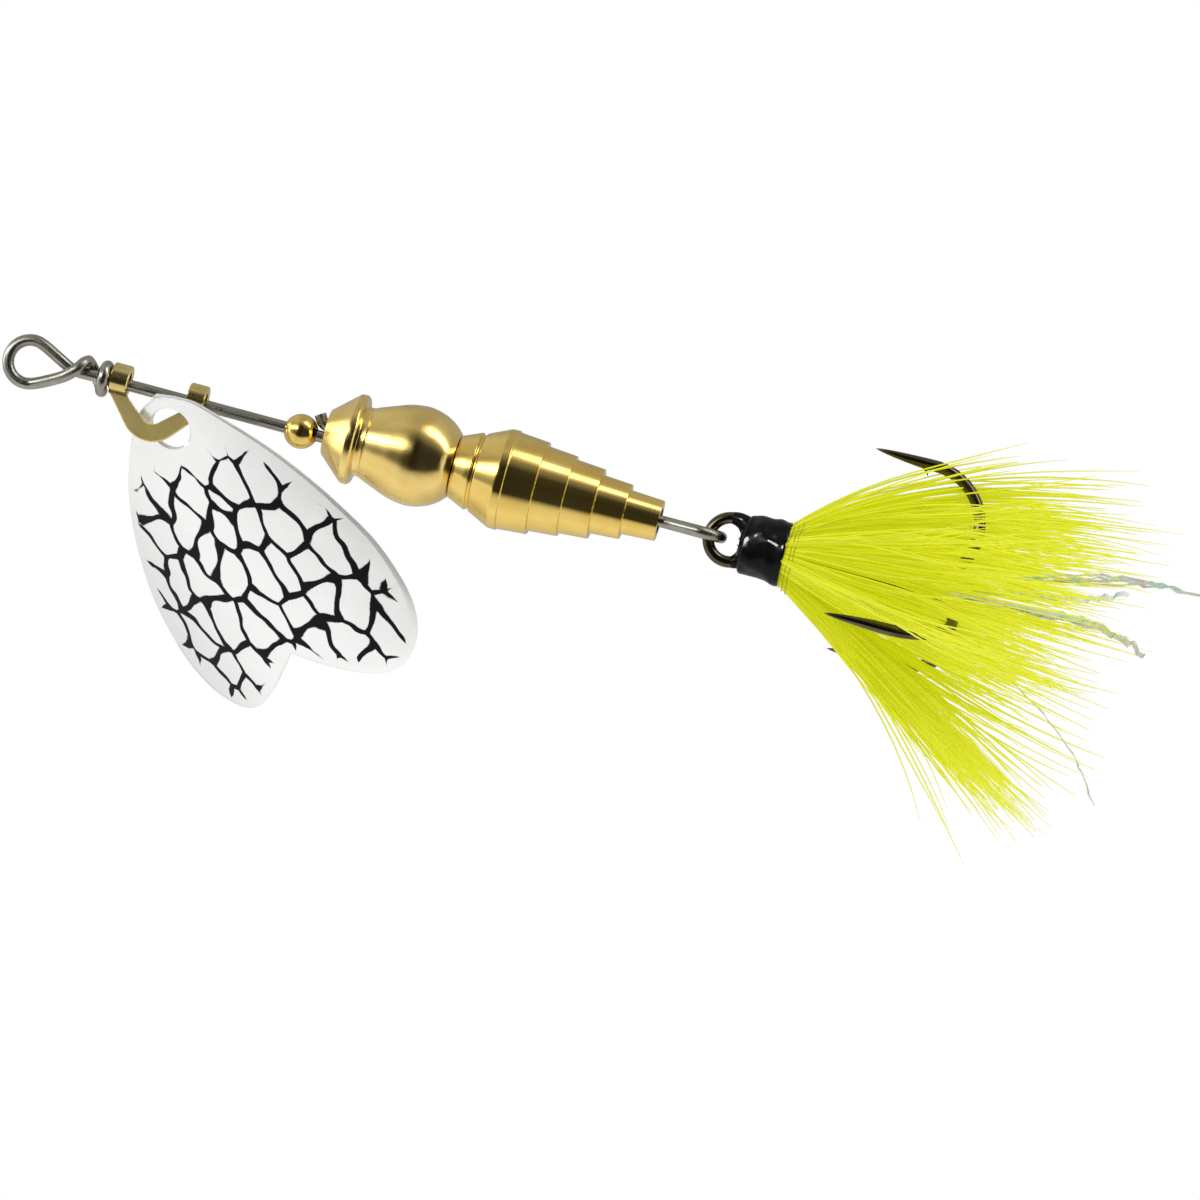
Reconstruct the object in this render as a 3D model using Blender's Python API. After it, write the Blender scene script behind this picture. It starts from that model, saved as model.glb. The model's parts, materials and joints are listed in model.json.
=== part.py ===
"""Inline spinner: a wire-shaft fishing lure with a revolving blade and a dressed treble hook.

The lure hangs from its line eye, which is centred on the origin. The shaft runs straight
down -Z. The blade shows its face to -Y, and one hook of the treble points to +X.
Sizes are in millimetres, and every mesh is scaled to metres as it is made.
"""

import math
import random

import bmesh
import bpy
import numpy as np
from mathutils import Vector

METRES_PER_MM = 0.001
GAP = 0.03                      # play left between pieces that touch
SEED = 11

# Shaft wire
WIRE_R = 0.395
WIRE_SIDES = 10
EYE_R = 1.45                    # centre line of the line eye
EYE_CENTRE = (-0.2, 0.5)        # x and z of the eye's arc
EYE_ARC = (-24.0, 204.0)        # degrees of arc, over the top
WRAP_R = 2 * WIRE_R + 2 * GAP   # centre line of the wraps round the shaft
WRAP_TOP = -3.28
WRAP_DROP = 1.35                # down to the closed ring beside the clevis
WRAP_DROP_TURNS = 0.5           # turns in which the wire comes down
WRAP_TURNS = 1.12
WRAP_STEPS = 14                 # points in a turn
CROSSING = ((0.02, -42.0, -3.12), (0.04, -82.0, -2.80))     # beyond WRAP_R, degrees, z
EYE_RISE = ((-0.50, -0.74, -2.14), (-1.05, -0.38, -1.16))   # up to the far side of the eye
EYE_NECK = ((0.55, 0.0, -1.30), (0.12, 0.0, -2.20), (0.0, 0.0, -2.85), (0.0, 0.0, -3.40))

# Clevis
CLEVIS_MID = -8.33              # z half-way between its two knuckles
CLEVIS_LEAF_Y = -0.15
CLEVIS_THICKNESS = 0.42
CLEVIS_WIDTH = 1.18
CLEVIS_LEG_WIDTH = 1.22         # at the knuckles, and the knuckles' length
CLEVIS_ARC_X = -1.19
CLEVIS_ARC_R = 1.50
CLEVIS_ARC_HALF = 50.0          # degrees each side of the bottom
KNUCKLE_HALF_SPAN = 2.63
KNUCKLE_CENTRE = (0.22, 0.10)   # x and y
KNUCKLE_R = 1.06
KNUCKLE_START = 190.0           # degrees, where the strip runs into the roll
KNUCKLE_ROLL = 326.0            # degrees of strip rolled round the shaft

# Blade
BLADE_HOLE = (-1.99, CLEVIS_LEAF_Y + 0.10, CLEVIS_MID - 1.46)
BLADE_HOLE_R = 1.43
BLADE_THICKNESS = 0.42
BLADE_HALF = (                  # half outline, along and across, from the ring to the notch
    (-2.50, 0.0), (-1.80, 1.50), (-0.70, 2.85), (2.80, 5.40), (5.70, 6.95), (8.90, 8.20),
    (12.5, 9.15), (16.5, 9.30), (19.3, 8.50), (20.9, 6.90), (21.15, 5.20), (20.2, 3.20),
    (18.8, 1.30), (17.7, 0.0))
BLADE_YAW = 52.0                # degrees from the shaft
BLADE_PITCH = 18.0              # lobes away from the face side
BLADE_ROLL = 28.0               # trailing edge towards the face side
BLADE_BOW = 0.0054              # drop per square millimetre of length
BLADE_CROWN = 0.0255            # drop per square millimetre of width

# Bead
BEAD_Z = -18.2
BEAD_R = 1.16
BEAD_BORE_R = 0.45
BEAD_SEGMENTS = 24

# Turned body
BODY_X = WIRE_R + GAP / 2       # the shaft lies beside its returning end in the bore
BODY_FRONT = -19.87
BODY_BORE_R = 0.86
BODY_SEGMENTS = 36
BODY_SEAM = 8.82                # distance from the front face to the waist
FRONT_PROFILE = (               # radius, distance from the front face
    (1.52, 0.0), (3.02, 1.68), (3.04, 2.08), (2.88, 2.26), (2.32, 2.36), (2.34, 2.74),
    (2.55, 3.23), (2.85, 4.03), (3.13, 4.80), (3.29, 5.50), (3.35, 6.10), (3.34, 6.45),
    (3.25, 6.95), (3.09, 7.45), (2.87, 7.90), (2.55, 8.35), (2.12, 8.78))
CONE_PROFILE = (
    (2.10, 8.85), (2.64, 10.1), (2.50, 10.2), (2.50, 10.32), (2.66, 10.42), (3.35, 11.9),
    (3.38, 12.45))
STEP_RADII = ((3.28, 3.12), (2.88, 2.72), (2.51, 2.36), (1.98, 1.85), (1.49, 1.36))
STEP_START = 12.5
STEP_LENGTH = 2.0
BODY_LENGTH = 22.8

# Rear loop and the returning end of the wire
LOOP_R = 1.35
LOOP_TIP = -46.85
LOOP_SIDE = ((0.44, -43.2), (0.78, -44.0), (1.18, -44.9))   # y and z down one side
STRAND_STEPS = 6                # points of each strand inside the body
TAG = ((2 * BODY_X, BODY_FRONT + 0.16), (0.99, -19.42), (1.40, -19.14))   # x and z to the cut end

# Thread head
HEAD_TOP = -48.5
HEAD_END = -51.2
HEAD_R = (2.02, 2.34)
HEAD_BORE = (1.62, 0.93)
HEAD_RIDGES = 6
HEAD_RIDGE = 0.10
HEAD_RIDGE_STEPS = 4            # points in a ridge
HEAD_SEGMENTS = 24

# Treble hook
HOOK_R = 0.39
HOOK_SIDES = 8
SHANK_OFFSET = 0.47             # three shanks side by side
HOOK_ANGLES = {"pair_a": 8.4, "pair_b": 128.4, "third": -111.6}
HOOK_EYE_R = 1.45
HOOK_EYE_Z = LOOP_TIP + WIRE_R + HOOK_R + GAP - HOOK_EYE_R
HOOK_EYE_ARC = (-50.0, 230.0)
NECKS = ((0.46, 0.03), (-0.42, 0.18))   # x and y where the eye closes into the two shanks
NECK_Z = HEAD_END + 1.55
SHANK_TOP = HEAD_END + 0.9
BEND_R = 3.9
BEND_Z = -59.2
POINT_Z = -55.1
POINT_TAPER = 3.6
POINT_LEAN = (0.08, 0.12)       # outwards at half the taper, and at the tip
POINT_R = (0.80 * HOOK_R, 0.04)
BARB_Z = -58.9
BARB_LENGTH = 0.95
BARB_REACH = 0.42
BARB_ROOT = 0.35                # share of the length that is open behind the sliver
BARB_HALF = (0.14, 0.03)        # half thickness at the root and at the tip

# Hair, tied in three bunches between the hooks
HAIR_BUNCHES = {"hair_far": 68.4, "hair_lower": 188.4, "hair_near": -51.6}
HAIR_SPREAD = 114.0
HAIR_COLLAR = (0.95, 1.98)
HAIR_COLLAR_Z = (HEAD_END - GAP, HEAD_END - 0.62)
HAIR_ROWS = 6
HAIR_COLUMNS = 11
HAIR_CONE = (3.5, 34.0)         # degrees from the axis, inner and outer strands
HAIR_DROOP = 10.0               # degrees that the outer strands of the upper side sink
HAIR_LENGTH = (17.5, 26.0)
HAIR_SHORTER = 0.08             # share that the outermost strands lose
HAIR_WANDER = (2.0, 2.5)        # degrees of cone and of azimuth
HAIR_CURVE = ((0.50, 1.0, 0.30), (1.0, 1.0, 0.0))   # share of the length, of the cone, extra when sunk
HAIR_MID_R = 0.11
HAIR_TIP_R = 0.01
HAIR_INSET = 0.032
HAIR_CLEAR = 0.02
HOOK_CLEAR = 0.10

# Tinsel, lying on the hair
TINSEL = {                      # azimuth, degrees from the axis, length
    "tinsel_upper": (-72.0, 35.0, 26.2),
    "tinsel_middle": (-92.0, 33.0, 25.6),
    "tinsel_lower": (-133.0, 36.0, 25.0),
    "tinsel_far": (74.0, 35.0, 24.0)}
TINSEL_R = 2.16
TINSEL_WIDTH = 0.42
TINSEL_THICKNESS = 0.10
TINSEL_POINTS = 15
TINSEL_BEND = (1.12, 0.84)      # share of the cone angle at the root and at the tip
TINSEL_CRINKLE = 0.16
TINSEL_HALF_WAVES = 9.0
TINSEL_CLEAR = 0.05


def reset_scene():
    """Remove every object, so that the script can run again in the same file."""
    for old in list(bpy.data.objects):
        bpy.data.objects.remove(old, do_unlink=True)


def make_material(name, colour, roughness, metallic):
    """Return a Principled material of one plain finish."""
    material = bpy.data.materials.new(name)
    material.use_nodes = True
    shader = material.node_tree.nodes["Principled BSDF"]
    shader.inputs["Base Color"].default_value = (*colour, 1.0)
    shader.inputs["Roughness"].default_value = roughness
    shader.inputs["Metallic"].default_value = metallic
    material.diffuse_color = (*colour, 1.0)
    return material


def make_pivot(name, location, parent=None):
    """Return an empty on a joint's axis, placed in millimetres in the world."""
    pivot = bpy.data.objects.new(name, None)
    bpy.context.collection.objects.link(pivot)
    pivot.empty_display_size = 0.003
    pivot["world"] = [value * METRES_PER_MM for value in location]
    if parent is not None:
        pivot.parent = parent
        pivot.location = Vector(pivot["world"]) - Vector(parent["world"])
    else:
        pivot.location = pivot["world"]
    return pivot


def make_object(name, bm, material, pivot=None, sharp=40.0):
    """Turn a mesh drawn in world millimetres into an object that hangs on its pivot."""
    bmesh.ops.remove_doubles(bm, verts=bm.verts, dist=1e-4)
    bmesh.ops.recalc_face_normals(bm, faces=bm.faces)
    bmesh.ops.scale(bm, verts=bm.verts, vec=Vector((METRES_PER_MM,) * 3))
    if pivot is not None:
        bmesh.ops.translate(bm, verts=bm.verts, vec=-Vector(pivot["world"]))
    mesh = bpy.data.meshes.new(name)
    bm.to_mesh(mesh)
    bm.free()
    mesh.shade_smooth()
    mesh.set_sharp_from_angle(angle=math.radians(sharp))
    mesh.materials.append(material)
    piece = bpy.data.objects.new(name, mesh)
    bpy.context.collection.objects.link(piece)
    piece.parent = pivot
    return piece


def join_with(piece, tool):
    """Union a tool shape into a piece, and hide the tool."""
    modifier = piece.modifiers.new(tool.name, "BOOLEAN")
    modifier.operation = "UNION"
    modifier.object = tool
    tool.hide_render = True
    tool.display_type = "WIRE"


def polar(radius, degrees):
    """Return x and y of a point at a radius and an angle."""
    return radius * math.cos(math.radians(degrees)), radius * math.sin(math.radians(degrees))


def ease(share):
    """Return a share held to 1 that starts and ends gently."""
    held = min(share, 1.0)
    return held * held * (3.0 - 2.0 * held)


def smooth(points, steps):
    """Return a smooth curve through points, with a number of steps between each two."""
    known = np.array(points, dtype=float)
    ends = np.vstack([2 * known[0] - known[1], known, 2 * known[-1] - known[-2]])
    curve = []
    for p0, p1, p2, p3 in zip(ends, ends[1:], ends[2:], ends[3:]):
        for t in np.linspace(0.0, 1.0, steps, endpoint=False):
            curve.append(0.5 * (2 * p1 + (p2 - p0) * t + (2 * p0 - 5 * p1 + 4 * p2 - p3) * t ** 2
                                + (3 * p1 - p0 - 3 * p2 + p3) * t ** 3))
    curve.append(known[-1])
    return [tuple(point) for point in curve]


def sweep(bm, path, sections):
    """Loft a closed ring of points, given by its two offsets, along a path and cap its ends.

    sections holds one list of (across, up) offsets for each point of the path.
    """
    points = [Vector(point) for point in path]
    tangents = []
    for index in range(len(points)):
        before = points[max(index - 1, 0)]
        after = points[min(index + 1, len(points) - 1)]
        tangents.append((after - before).normalized())
    across = tangents[0].orthogonal().normalized()
    rings = []
    for point, tangent, section in zip(points, tangents, sections):
        across = (across - tangent * across.dot(tangent)).normalized()
        up = tangent.cross(across)
        rings.append([bm.verts.new(point + across * a + up * b) for a, b in section])
    bridge(bm, rings)
    bm.faces.new(rings[0][::-1])
    bm.faces.new(rings[-1])


def bridge(bm, rings):
    """Join closed rings of vertices, each to the next."""
    for low, high in zip(rings, rings[1:]):
        count = len(low)
        for index in range(count):
            after = (index + 1) % count
            bm.faces.new((low[index], low[after], high[after], high[index]))


def round_sections(radii, sides):
    """Return a round section for each radius."""
    return [[polar(radius, 360.0 * side / sides) for side in range(sides)] for radius in radii]


def turn(bm, profile, segments, axis_x=0.0):
    """Revolve a closed profile of (radius, z) points round a vertical axis."""
    rings = []
    for step in range(segments):
        cosine, sine = polar(1.0, 360.0 * step / segments)
        rings.append([bm.verts.new((axis_x + r * cosine, r * sine, z)) for r, z in profile])
    bridge(bm, rings + rings[:1])


def body_strand(degrees_front, degrees_rear):
    """Return one of the two strands that twist a quarter turn inside the body, front to rear."""
    strand = []
    for step in range(STRAND_STEPS + 1):
        share = step / STRAND_STEPS
        x, y = polar(BODY_X, degrees_front + (degrees_rear - degrees_front) * share)
        strand.append((BODY_X + x, y, BODY_FRONT - BODY_LENGTH * share))
    return strand


def shaft_path():
    """Return the whole wire's centre line, from the wraps' cut end to the end before the body."""
    wraps = []
    wrap_steps = int(WRAP_TURNS * WRAP_STEPS)
    for step in range(wrap_steps, -1, -1):
        turns = WRAP_TURNS * step / wrap_steps
        x, y = polar(WRAP_R, 360.0 * turns)
        wraps.append((x, y, WRAP_TOP - WRAP_DROP * ease(turns / WRAP_DROP_TURNS)))
    crossing = [(*polar(WRAP_R + out, degrees), z) for out, degrees, z in CROSSING]
    eye = []
    for degrees in np.linspace(EYE_ARC[1], EYE_ARC[0], 9):
        x, z = polar(EYE_R, degrees)
        eye.append((EYE_CENTRE[0] + x, 0.0, EYE_CENTRE[1] + z))
    top = wraps[:-1] + smooth([wraps[-1], *crossing, *EYE_RISE, *eye, *EYE_NECK], 3)

    inside = body_strand(180.0, 270.0)
    loop_start = LOOP_TIP + LOOP_R
    half_loop = [(BODY_X, -y, z) for y, z in LOOP_SIDE]
    tip = []
    for degrees in np.linspace(180.0, 360.0, 9):
        y, z = polar(LOOP_R, degrees)
        tip.append((BODY_X, y, loop_start + z))
    other_half = [(x, -y, z) for x, y, z in reversed(half_loop)]
    back = list(reversed(body_strand(0.0, 90.0)))
    rear = smooth([inside[-1], *half_loop, *tip, *other_half, back[0]], 2)
    tag = smooth([back[-1]] + [(x, 0.0, z) for x, z in TAG], 3)
    return top + inside[:-1] + rear + back[1:-1] + tag


def least_self_gap(path, radius):
    """Return the least gap between parts of a tube that aren't neighbours along it."""
    dense = []
    for start, end in zip(path, path[1:]):
        length = math.dist(start, end)
        count = max(1, int(length / 0.1))
        for step in range(count):
            dense.append(np.array(start) + (np.array(end) - np.array(start)) * step / count)
    points = np.array(dense)
    run = np.concatenate([[0.0], np.cumsum(np.linalg.norm(np.diff(points, axis=0), axis=1))])
    least = math.inf
    for index in range(len(points)):
        far = run > run[index] + 4.0 * radius
        if far.any():
            least = min(least, np.linalg.norm(points[far] - points[index], axis=1).min())
    return least - 2 * radius


def make_shaft_wire(material):
    """One wire: wrapped line eye, shaft, rear loop and the end that comes back to the front."""
    path = shaft_path()
    bm = bmesh.new()
    sweep(bm, path, round_sections([WIRE_R] * len(path), WIRE_SIDES))
    print("shaft_wire least self gap, mm:", round(least_self_gap(path, WIRE_R), 3))
    return make_object("shaft_wire", bm, material)


def clevis_strip_path():
    """Return the flat strip's centre line and widths, knuckle to knuckle, in x and z."""
    half_roll = KNUCKLE_R - CLEVIS_THICKNESS / 2
    leg_top = (KNUCKLE_CENTRE[0] - half_roll, KNUCKLE_HALF_SPAN)
    arc = []
    for degrees in np.linspace(-CLEVIS_ARC_HALF, CLEVIS_ARC_HALF, 13):
        drop, along = polar(CLEVIS_ARC_R, degrees)
        arc.append((CLEVIS_ARC_X - drop, along))
    line = [(leg_top[0], -leg_top[1])] + arc + [leg_top]
    widths = [CLEVIS_LEG_WIDTH] + [CLEVIS_WIDTH] * len(arc) + [CLEVIS_LEG_WIDTH]
    return line, widths


def make_clevis_strip(material, pivot):
    """Flat strip bent edgewise into a U, which the blade hangs on."""
    line, widths = clevis_strip_path()
    half = CLEVIS_THICKNESS / 2
    bm = bmesh.new()
    rings = []
    for index, ((x, along), width) in enumerate(zip(line, widths)):
        if index in (0, len(line) - 1):
            normal = Vector((0.0, math.copysign(1.0, along)))
        else:
            tangent = Vector(line[index + 1]) - Vector(line[index - 1])
            normal = Vector((-tangent.y, tangent.x)).normalized()
        ring = []
        for side, y in ((1, -half), (1, half), (-1, half), (-1, -half)):
            place = Vector((x, along)) + normal * side * width / 2
            ring.append(bm.verts.new((place.x, CLEVIS_LEAF_Y + y, CLEVIS_MID - place.y)))
        rings.append(ring)
    bridge(bm, rings)
    bm.faces.new(rings[0][::-1])
    bm.faces.new(rings[-1])
    return make_object("clevis", bm, material, pivot)


def make_knuckle(name, material, pivot, middle):
    """Strip end rolled round the shaft like a hinge knuckle, open in a narrow slit."""
    inner = KNUCKLE_R - CLEVIS_THICKNESS
    bm = bmesh.new()
    rings = []
    for degrees in np.linspace(0.0, KNUCKLE_ROLL, 25):
        corner = []
        for radius, side in ((inner, -1), (KNUCKLE_R, -1), (KNUCKLE_R, 1), (inner, 1)):
            x, y = polar(radius, KNUCKLE_START - degrees)
            corner.append(bm.verts.new((KNUCKLE_CENTRE[0] + x, KNUCKLE_CENTRE[1] + y,
                                        middle + side * CLEVIS_LEG_WIDTH / 2)))
        rings.append(corner)
    bridge(bm, rings)
    bm.faces.new(rings[0][::-1])
    bm.faces.new(rings[-1])
    return make_object(name, bm, material, pivot)


def make_clevis(material, pivot):
    """U-shaped clevis with a rolled knuckle at each end."""
    clevis = make_clevis_strip(material, pivot)
    for name, side in (("knuckle_front", 1), ("knuckle_rear", -1)):
        middle = CLEVIS_MID + side * KNUCKLE_HALF_SPAN
        join_with(clevis, make_knuckle(name, material, pivot, middle))
    return clevis


def blade_axes():
    """Return the blade's long, cross and outward axes in the world."""
    yaw, pitch, roll = (math.radians(value) for value in (BLADE_YAW, BLADE_PITCH, BLADE_ROLL))
    along = Vector((-math.sin(yaw), 0.0, -math.cos(yaw)))
    across = Vector((math.cos(yaw), 0.0, -math.sin(yaw)))
    face = Vector((0.0, -1.0, 0.0))
    long_axis = along * math.cos(pitch) - face * math.sin(pitch)
    tilted = along * math.sin(pitch) + face * math.cos(pitch)
    cross_axis = across * math.cos(roll) + tilted * math.sin(roll)
    outward = tilted * math.cos(roll) - across * math.sin(roll)
    return long_axis, cross_axis, outward


def blade_outline():
    """Return the two-lobed outline as one closed loop that starts at the notch."""
    half = smooth(BLADE_HALF, 3)
    right = [(a, b) for a, b in reversed(half)]
    left = [(a, -b) for a, b in half[1:-1]]
    return right + left


def blade_point(a, b, axes, side):
    """Return a point on one face of the domed blade."""
    long_axis, cross_axis, outward = axes
    bow = max(a, 0.0)
    drop = BLADE_BOW * bow ** 2 + BLADE_CROWN * b ** 2
    slope_a = 2 * BLADE_BOW * bow
    slope_b = 2 * BLADE_CROWN * b
    normal = (long_axis * slope_a + cross_axis * slope_b + outward).normalized()
    middle = Vector(BLADE_HOLE) + long_axis * a + cross_axis * b - outward * drop
    return middle + normal * side * BLADE_THICKNESS / 2


def make_blade(material, pivot):
    """Domed two-lobed blade with the hole for the clevis."""
    axes = blade_axes()
    outline = blade_outline()
    levels = (0.0, 0.12, 0.28, 0.46, 0.64, 0.82, 1.0)
    bm = bmesh.new()
    faces = []
    for side in (1, -1):
        rings = []
        for level in levels:
            ring = []
            for a, b in outline:
                x, y = polar(BLADE_HOLE_R, math.degrees(math.atan2(b, a)))
                ring.append(bm.verts.new(blade_point(x + (a - x) * level, y + (b - y) * level,
                                                     axes, side)))
            rings.append(ring)
        bridge(bm, rings)
        faces.append(rings)
    front, back = faces
    bridge(bm, [front[0], back[0]])
    bridge(bm, [front[-1], back[-1]])
    return make_object("blade", bm, material, pivot)


def make_bead(material, pivot):
    """Round bearing bead, drilled for the shaft."""
    edge = math.degrees(math.asin(BEAD_BORE_R / BEAD_R))
    profile = []
    for degrees in np.linspace(90.0 - edge, edge - 90.0, 13):
        r, z = polar(BEAD_R, degrees)
        profile.append((r, BEAD_Z + z))
    bm = bmesh.new()
    turn(bm, profile, BEAD_SEGMENTS)
    return make_object("bead", bm, material, pivot)


def turned_piece(name, outer, material, pivot):
    """Body piece turned to an outer profile, with the bore for the doubled wire."""
    first = outer[0][1]
    last = outer[-1][1]
    profile = [(r, BODY_FRONT - s) for r, s in outer]
    profile += [(BODY_BORE_R, BODY_FRONT - last), (BODY_BORE_R, BODY_FRONT - first)]
    bm = bmesh.new()
    turn(bm, profile, BODY_SEGMENTS, BODY_X)
    return make_object(name, bm, material, pivot, sharp=25.0)


def make_front_body(material, pivot):
    """Flanged, vase-shaped front weight."""
    return turned_piece("front_body", list(FRONT_PROFILE), material, pivot)


def make_rear_body(material, pivot):
    """Grooved cone that steps down in five cylinders to the rear."""
    outer = list(CONE_PROFILE)
    for index, (r_start, r_end) in enumerate(STEP_RADII):
        start = STEP_START + STEP_LENGTH * index
        end = BODY_LENGTH if index == len(STEP_RADII) - 1 else start + STEP_LENGTH
        outer += [(r_start, start), (r_end, end)]
    return turned_piece("rear_body", outer, material, pivot)


def hook_path(degrees):
    """Return one hook's centre line and radii, from the shank's top to the needle point."""
    flat = [(SHANK_OFFSET, SHANK_TOP), (SHANK_OFFSET, BEND_Z)]
    for turned in np.linspace(180.0, 360.0, 15)[1:]:
        across, z = polar(BEND_R, turned)
        flat.append((SHANK_OFFSET + BEND_R + across, BEND_Z + z))
    reach = SHANK_OFFSET + 2 * BEND_R
    flat += [(reach, POINT_Z - POINT_TAPER), (reach + POINT_LEAN[0], POINT_Z - 0.5 * POINT_TAPER),
             (reach + POINT_LEAN[1], POINT_Z)]
    radii = [HOOK_R] * (len(flat) - len(POINT_R)) + list(POINT_R)
    cosine, sine = polar(1.0, degrees)
    return [(BODY_X + u * cosine, u * sine, z) for u, z in flat], radii


def make_barb(name, degrees, material, pivot):
    """Sliver raised from the inner side of the point, aimed back at the bend."""
    reach = SHANK_OFFSET + 2 * BEND_R
    cosine, sine = polar(1.0, degrees)
    outline = ((reach, BARB_Z + BARB_LENGTH), (reach, BARB_Z + BARB_ROOT * BARB_LENGTH),
               (reach - HOOK_R - BARB_REACH, BARB_Z))
    bm = bmesh.new()
    rings = []
    for side in (-1, 1):
        ring = []
        for u, z in outline:
            half = BARB_HALF[0] if u == reach else BARB_HALF[1]
            ring.append(bm.verts.new((BODY_X + u * cosine - side * half * sine,
                                      u * sine + side * half * cosine, z)))
        rings.append(ring)
    bridge(bm, rings)
    bm.faces.new(rings[0][::-1])
    bm.faces.new(rings[1])
    return make_object(name, bm, material, pivot)


def hook_eye_path():
    """Return the treble's eye, from one shank of the double hook to the other."""
    eye = []
    for degrees in np.linspace(HOOK_EYE_ARC[0], HOOK_EYE_ARC[1], 17):
        x, z = polar(HOOK_EYE_R, degrees)
        eye.append((BODY_X + x, 0.0, HOOK_EYE_Z + z))
    return eye


def make_hook_pair(material, pivot):
    """Two hooks and the eye, bent from one wire."""
    first, first_radii = hook_path(HOOK_ANGLES["pair_a"])
    second, second_radii = hook_path(HOOK_ANGLES["pair_b"])
    necks = [(BODY_X + x, y, NECK_Z) for x, y in NECKS]
    eye = smooth([first[0], necks[0], *hook_eye_path(), necks[1], second[0]], 2)
    path = first[:0:-1] + eye + second[1:]
    radii = first_radii[:0:-1] + [HOOK_R] * len(eye) + second_radii[1:]
    bm = bmesh.new()
    sweep(bm, path, round_sections(radii, HOOK_SIDES))
    pair = make_object("hook_pair", bm, material, pivot)
    for key in ("pair_a", "pair_b"):
        join_with(pair, make_barb("barb_" + key, HOOK_ANGLES[key], material, pivot))
    return pair


def make_hook_third(material, pivot):
    """Single hook brazed beside the double hook's shanks."""
    path, radii = hook_path(HOOK_ANGLES["third"])
    bm = bmesh.new()
    sweep(bm, path, round_sections(radii, HOOK_SIDES))
    hook = make_object("hook_third", bm, material, pivot)
    join_with(hook, make_barb("barb_third", HOOK_ANGLES["third"], material, pivot))
    return hook


def make_thread_head(material, pivot):
    """Lacquered thread wound over the eye's neck and the roots of the hair."""
    outer = []
    steps = HEAD_RIDGES * HEAD_RIDGE_STEPS
    for step in range(steps + 1):
        share = step / steps
        ridge = HEAD_RIDGE * abs(math.sin(math.pi * HEAD_RIDGES * share))
        swell = HEAD_R[0] + (HEAD_R[1] - HEAD_R[0]) * share - HEAD_RIDGE
        outer.append((swell + ridge, HEAD_TOP + (HEAD_END - HEAD_TOP) * share))
    bore = [(HEAD_BORE[1], HEAD_END), (HEAD_BORE[1], SHANK_TOP), (HEAD_BORE[0], HEAD_TOP)]
    bm = bmesh.new()
    turn(bm, outer + bore, HEAD_SEGMENTS, BODY_X)
    return make_object("thread_head", bm, material, pivot)


def tinsel_path(azimuth, cone, length):
    """Return a tinsel strand's centre line, with its shallow crinkles."""
    out = Vector((*polar(1.0, azimuth), 0.0))
    side = Vector((*polar(1.0, azimuth + 90.0), 0.0))
    root = Vector((BODY_X, 0.0, HEAD_END - TINSEL_THICKNESS)) + out * TINSEL_R
    path = []
    for step in range(TINSEL_POINTS):
        share = step / (TINSEL_POINTS - 1)
        bend = math.radians(cone * (TINSEL_BEND[0] + (TINSEL_BEND[1] - TINSEL_BEND[0]) * share))
        run = length * share
        crinkle = TINSEL_CRINKLE * math.sin(TINSEL_HALF_WAVES * share * math.pi) * share
        path.append(root + out * run * math.sin(bend) + side * crinkle
                    - Vector((0.0, 0.0, run * math.cos(bend))))
    return path


def make_tinsel(name, azimuth, cone, length, material, pivot):
    """Flat tinsel strand from under the thread."""
    path = tinsel_path(azimuth, cone, length)
    side = Vector((*polar(1.0, azimuth + 90.0), 0.0))
    bm = bmesh.new()
    rings = []
    for index, point in enumerate(path):
        tangent = (path[min(index + 1, len(path) - 1)] - path[max(index - 1, 0)]).normalized()
        across = (side - tangent * side.dot(tangent)).normalized()
        up = tangent.cross(across)
        corners = ((-1, -1), (1, -1), (1, 1), (-1, 1))
        rings.append([bm.verts.new(point + across * a * TINSEL_WIDTH / 2
                                   + up * b * TINSEL_THICKNESS / 2) for a, b in corners])
    bridge(bm, rings)
    bm.faces.new(rings[0][::-1])
    bm.faces.new(rings[-1])
    return make_object(name, bm, material, pivot)


class HairField:
    """Keeps strands of hair clear of each other and of what they lie beside."""

    def __init__(self, clearance=HAIR_CLEAR, step=0.3):
        self.clearance = clearance
        self.step = step
        self.points = []
        self.radii = []

    def samples(self, path, radii):
        """Return points along a path, with the radius at each."""
        points = []
        thickness = []
        for start, end, r_start, r_end in zip(path, path[1:], radii, radii[1:]):
            count = max(1, int((Vector(end) - Vector(start)).length / self.step))
            for index in range(count):
                share = index / count
                points.append(Vector(start).lerp(Vector(end), share))
                thickness.append(r_start + (r_end - r_start) * share)
        points.append(Vector(path[-1]))
        thickness.append(radii[-1])
        return np.array(points), np.array(thickness)

    def add(self, path, radii):
        """Add a strand, a hook or a tinsel that later strands keep clear of."""
        points, thickness = self.samples(path, radii)
        self.points.append(points)
        self.radii.append(thickness)

    def is_clear(self, path, radii):
        """Say whether a strand would pass clear of everything added so far."""
        points, thickness = self.samples(path, radii)
        others = np.vstack(self.points)
        widths = np.concatenate(self.radii)
        for point, radius in zip(points, thickness):
            gaps = np.linalg.norm(others - point, axis=1) - widths - radius
            if gaps.min() < self.clearance:
                return False
        return True


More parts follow.
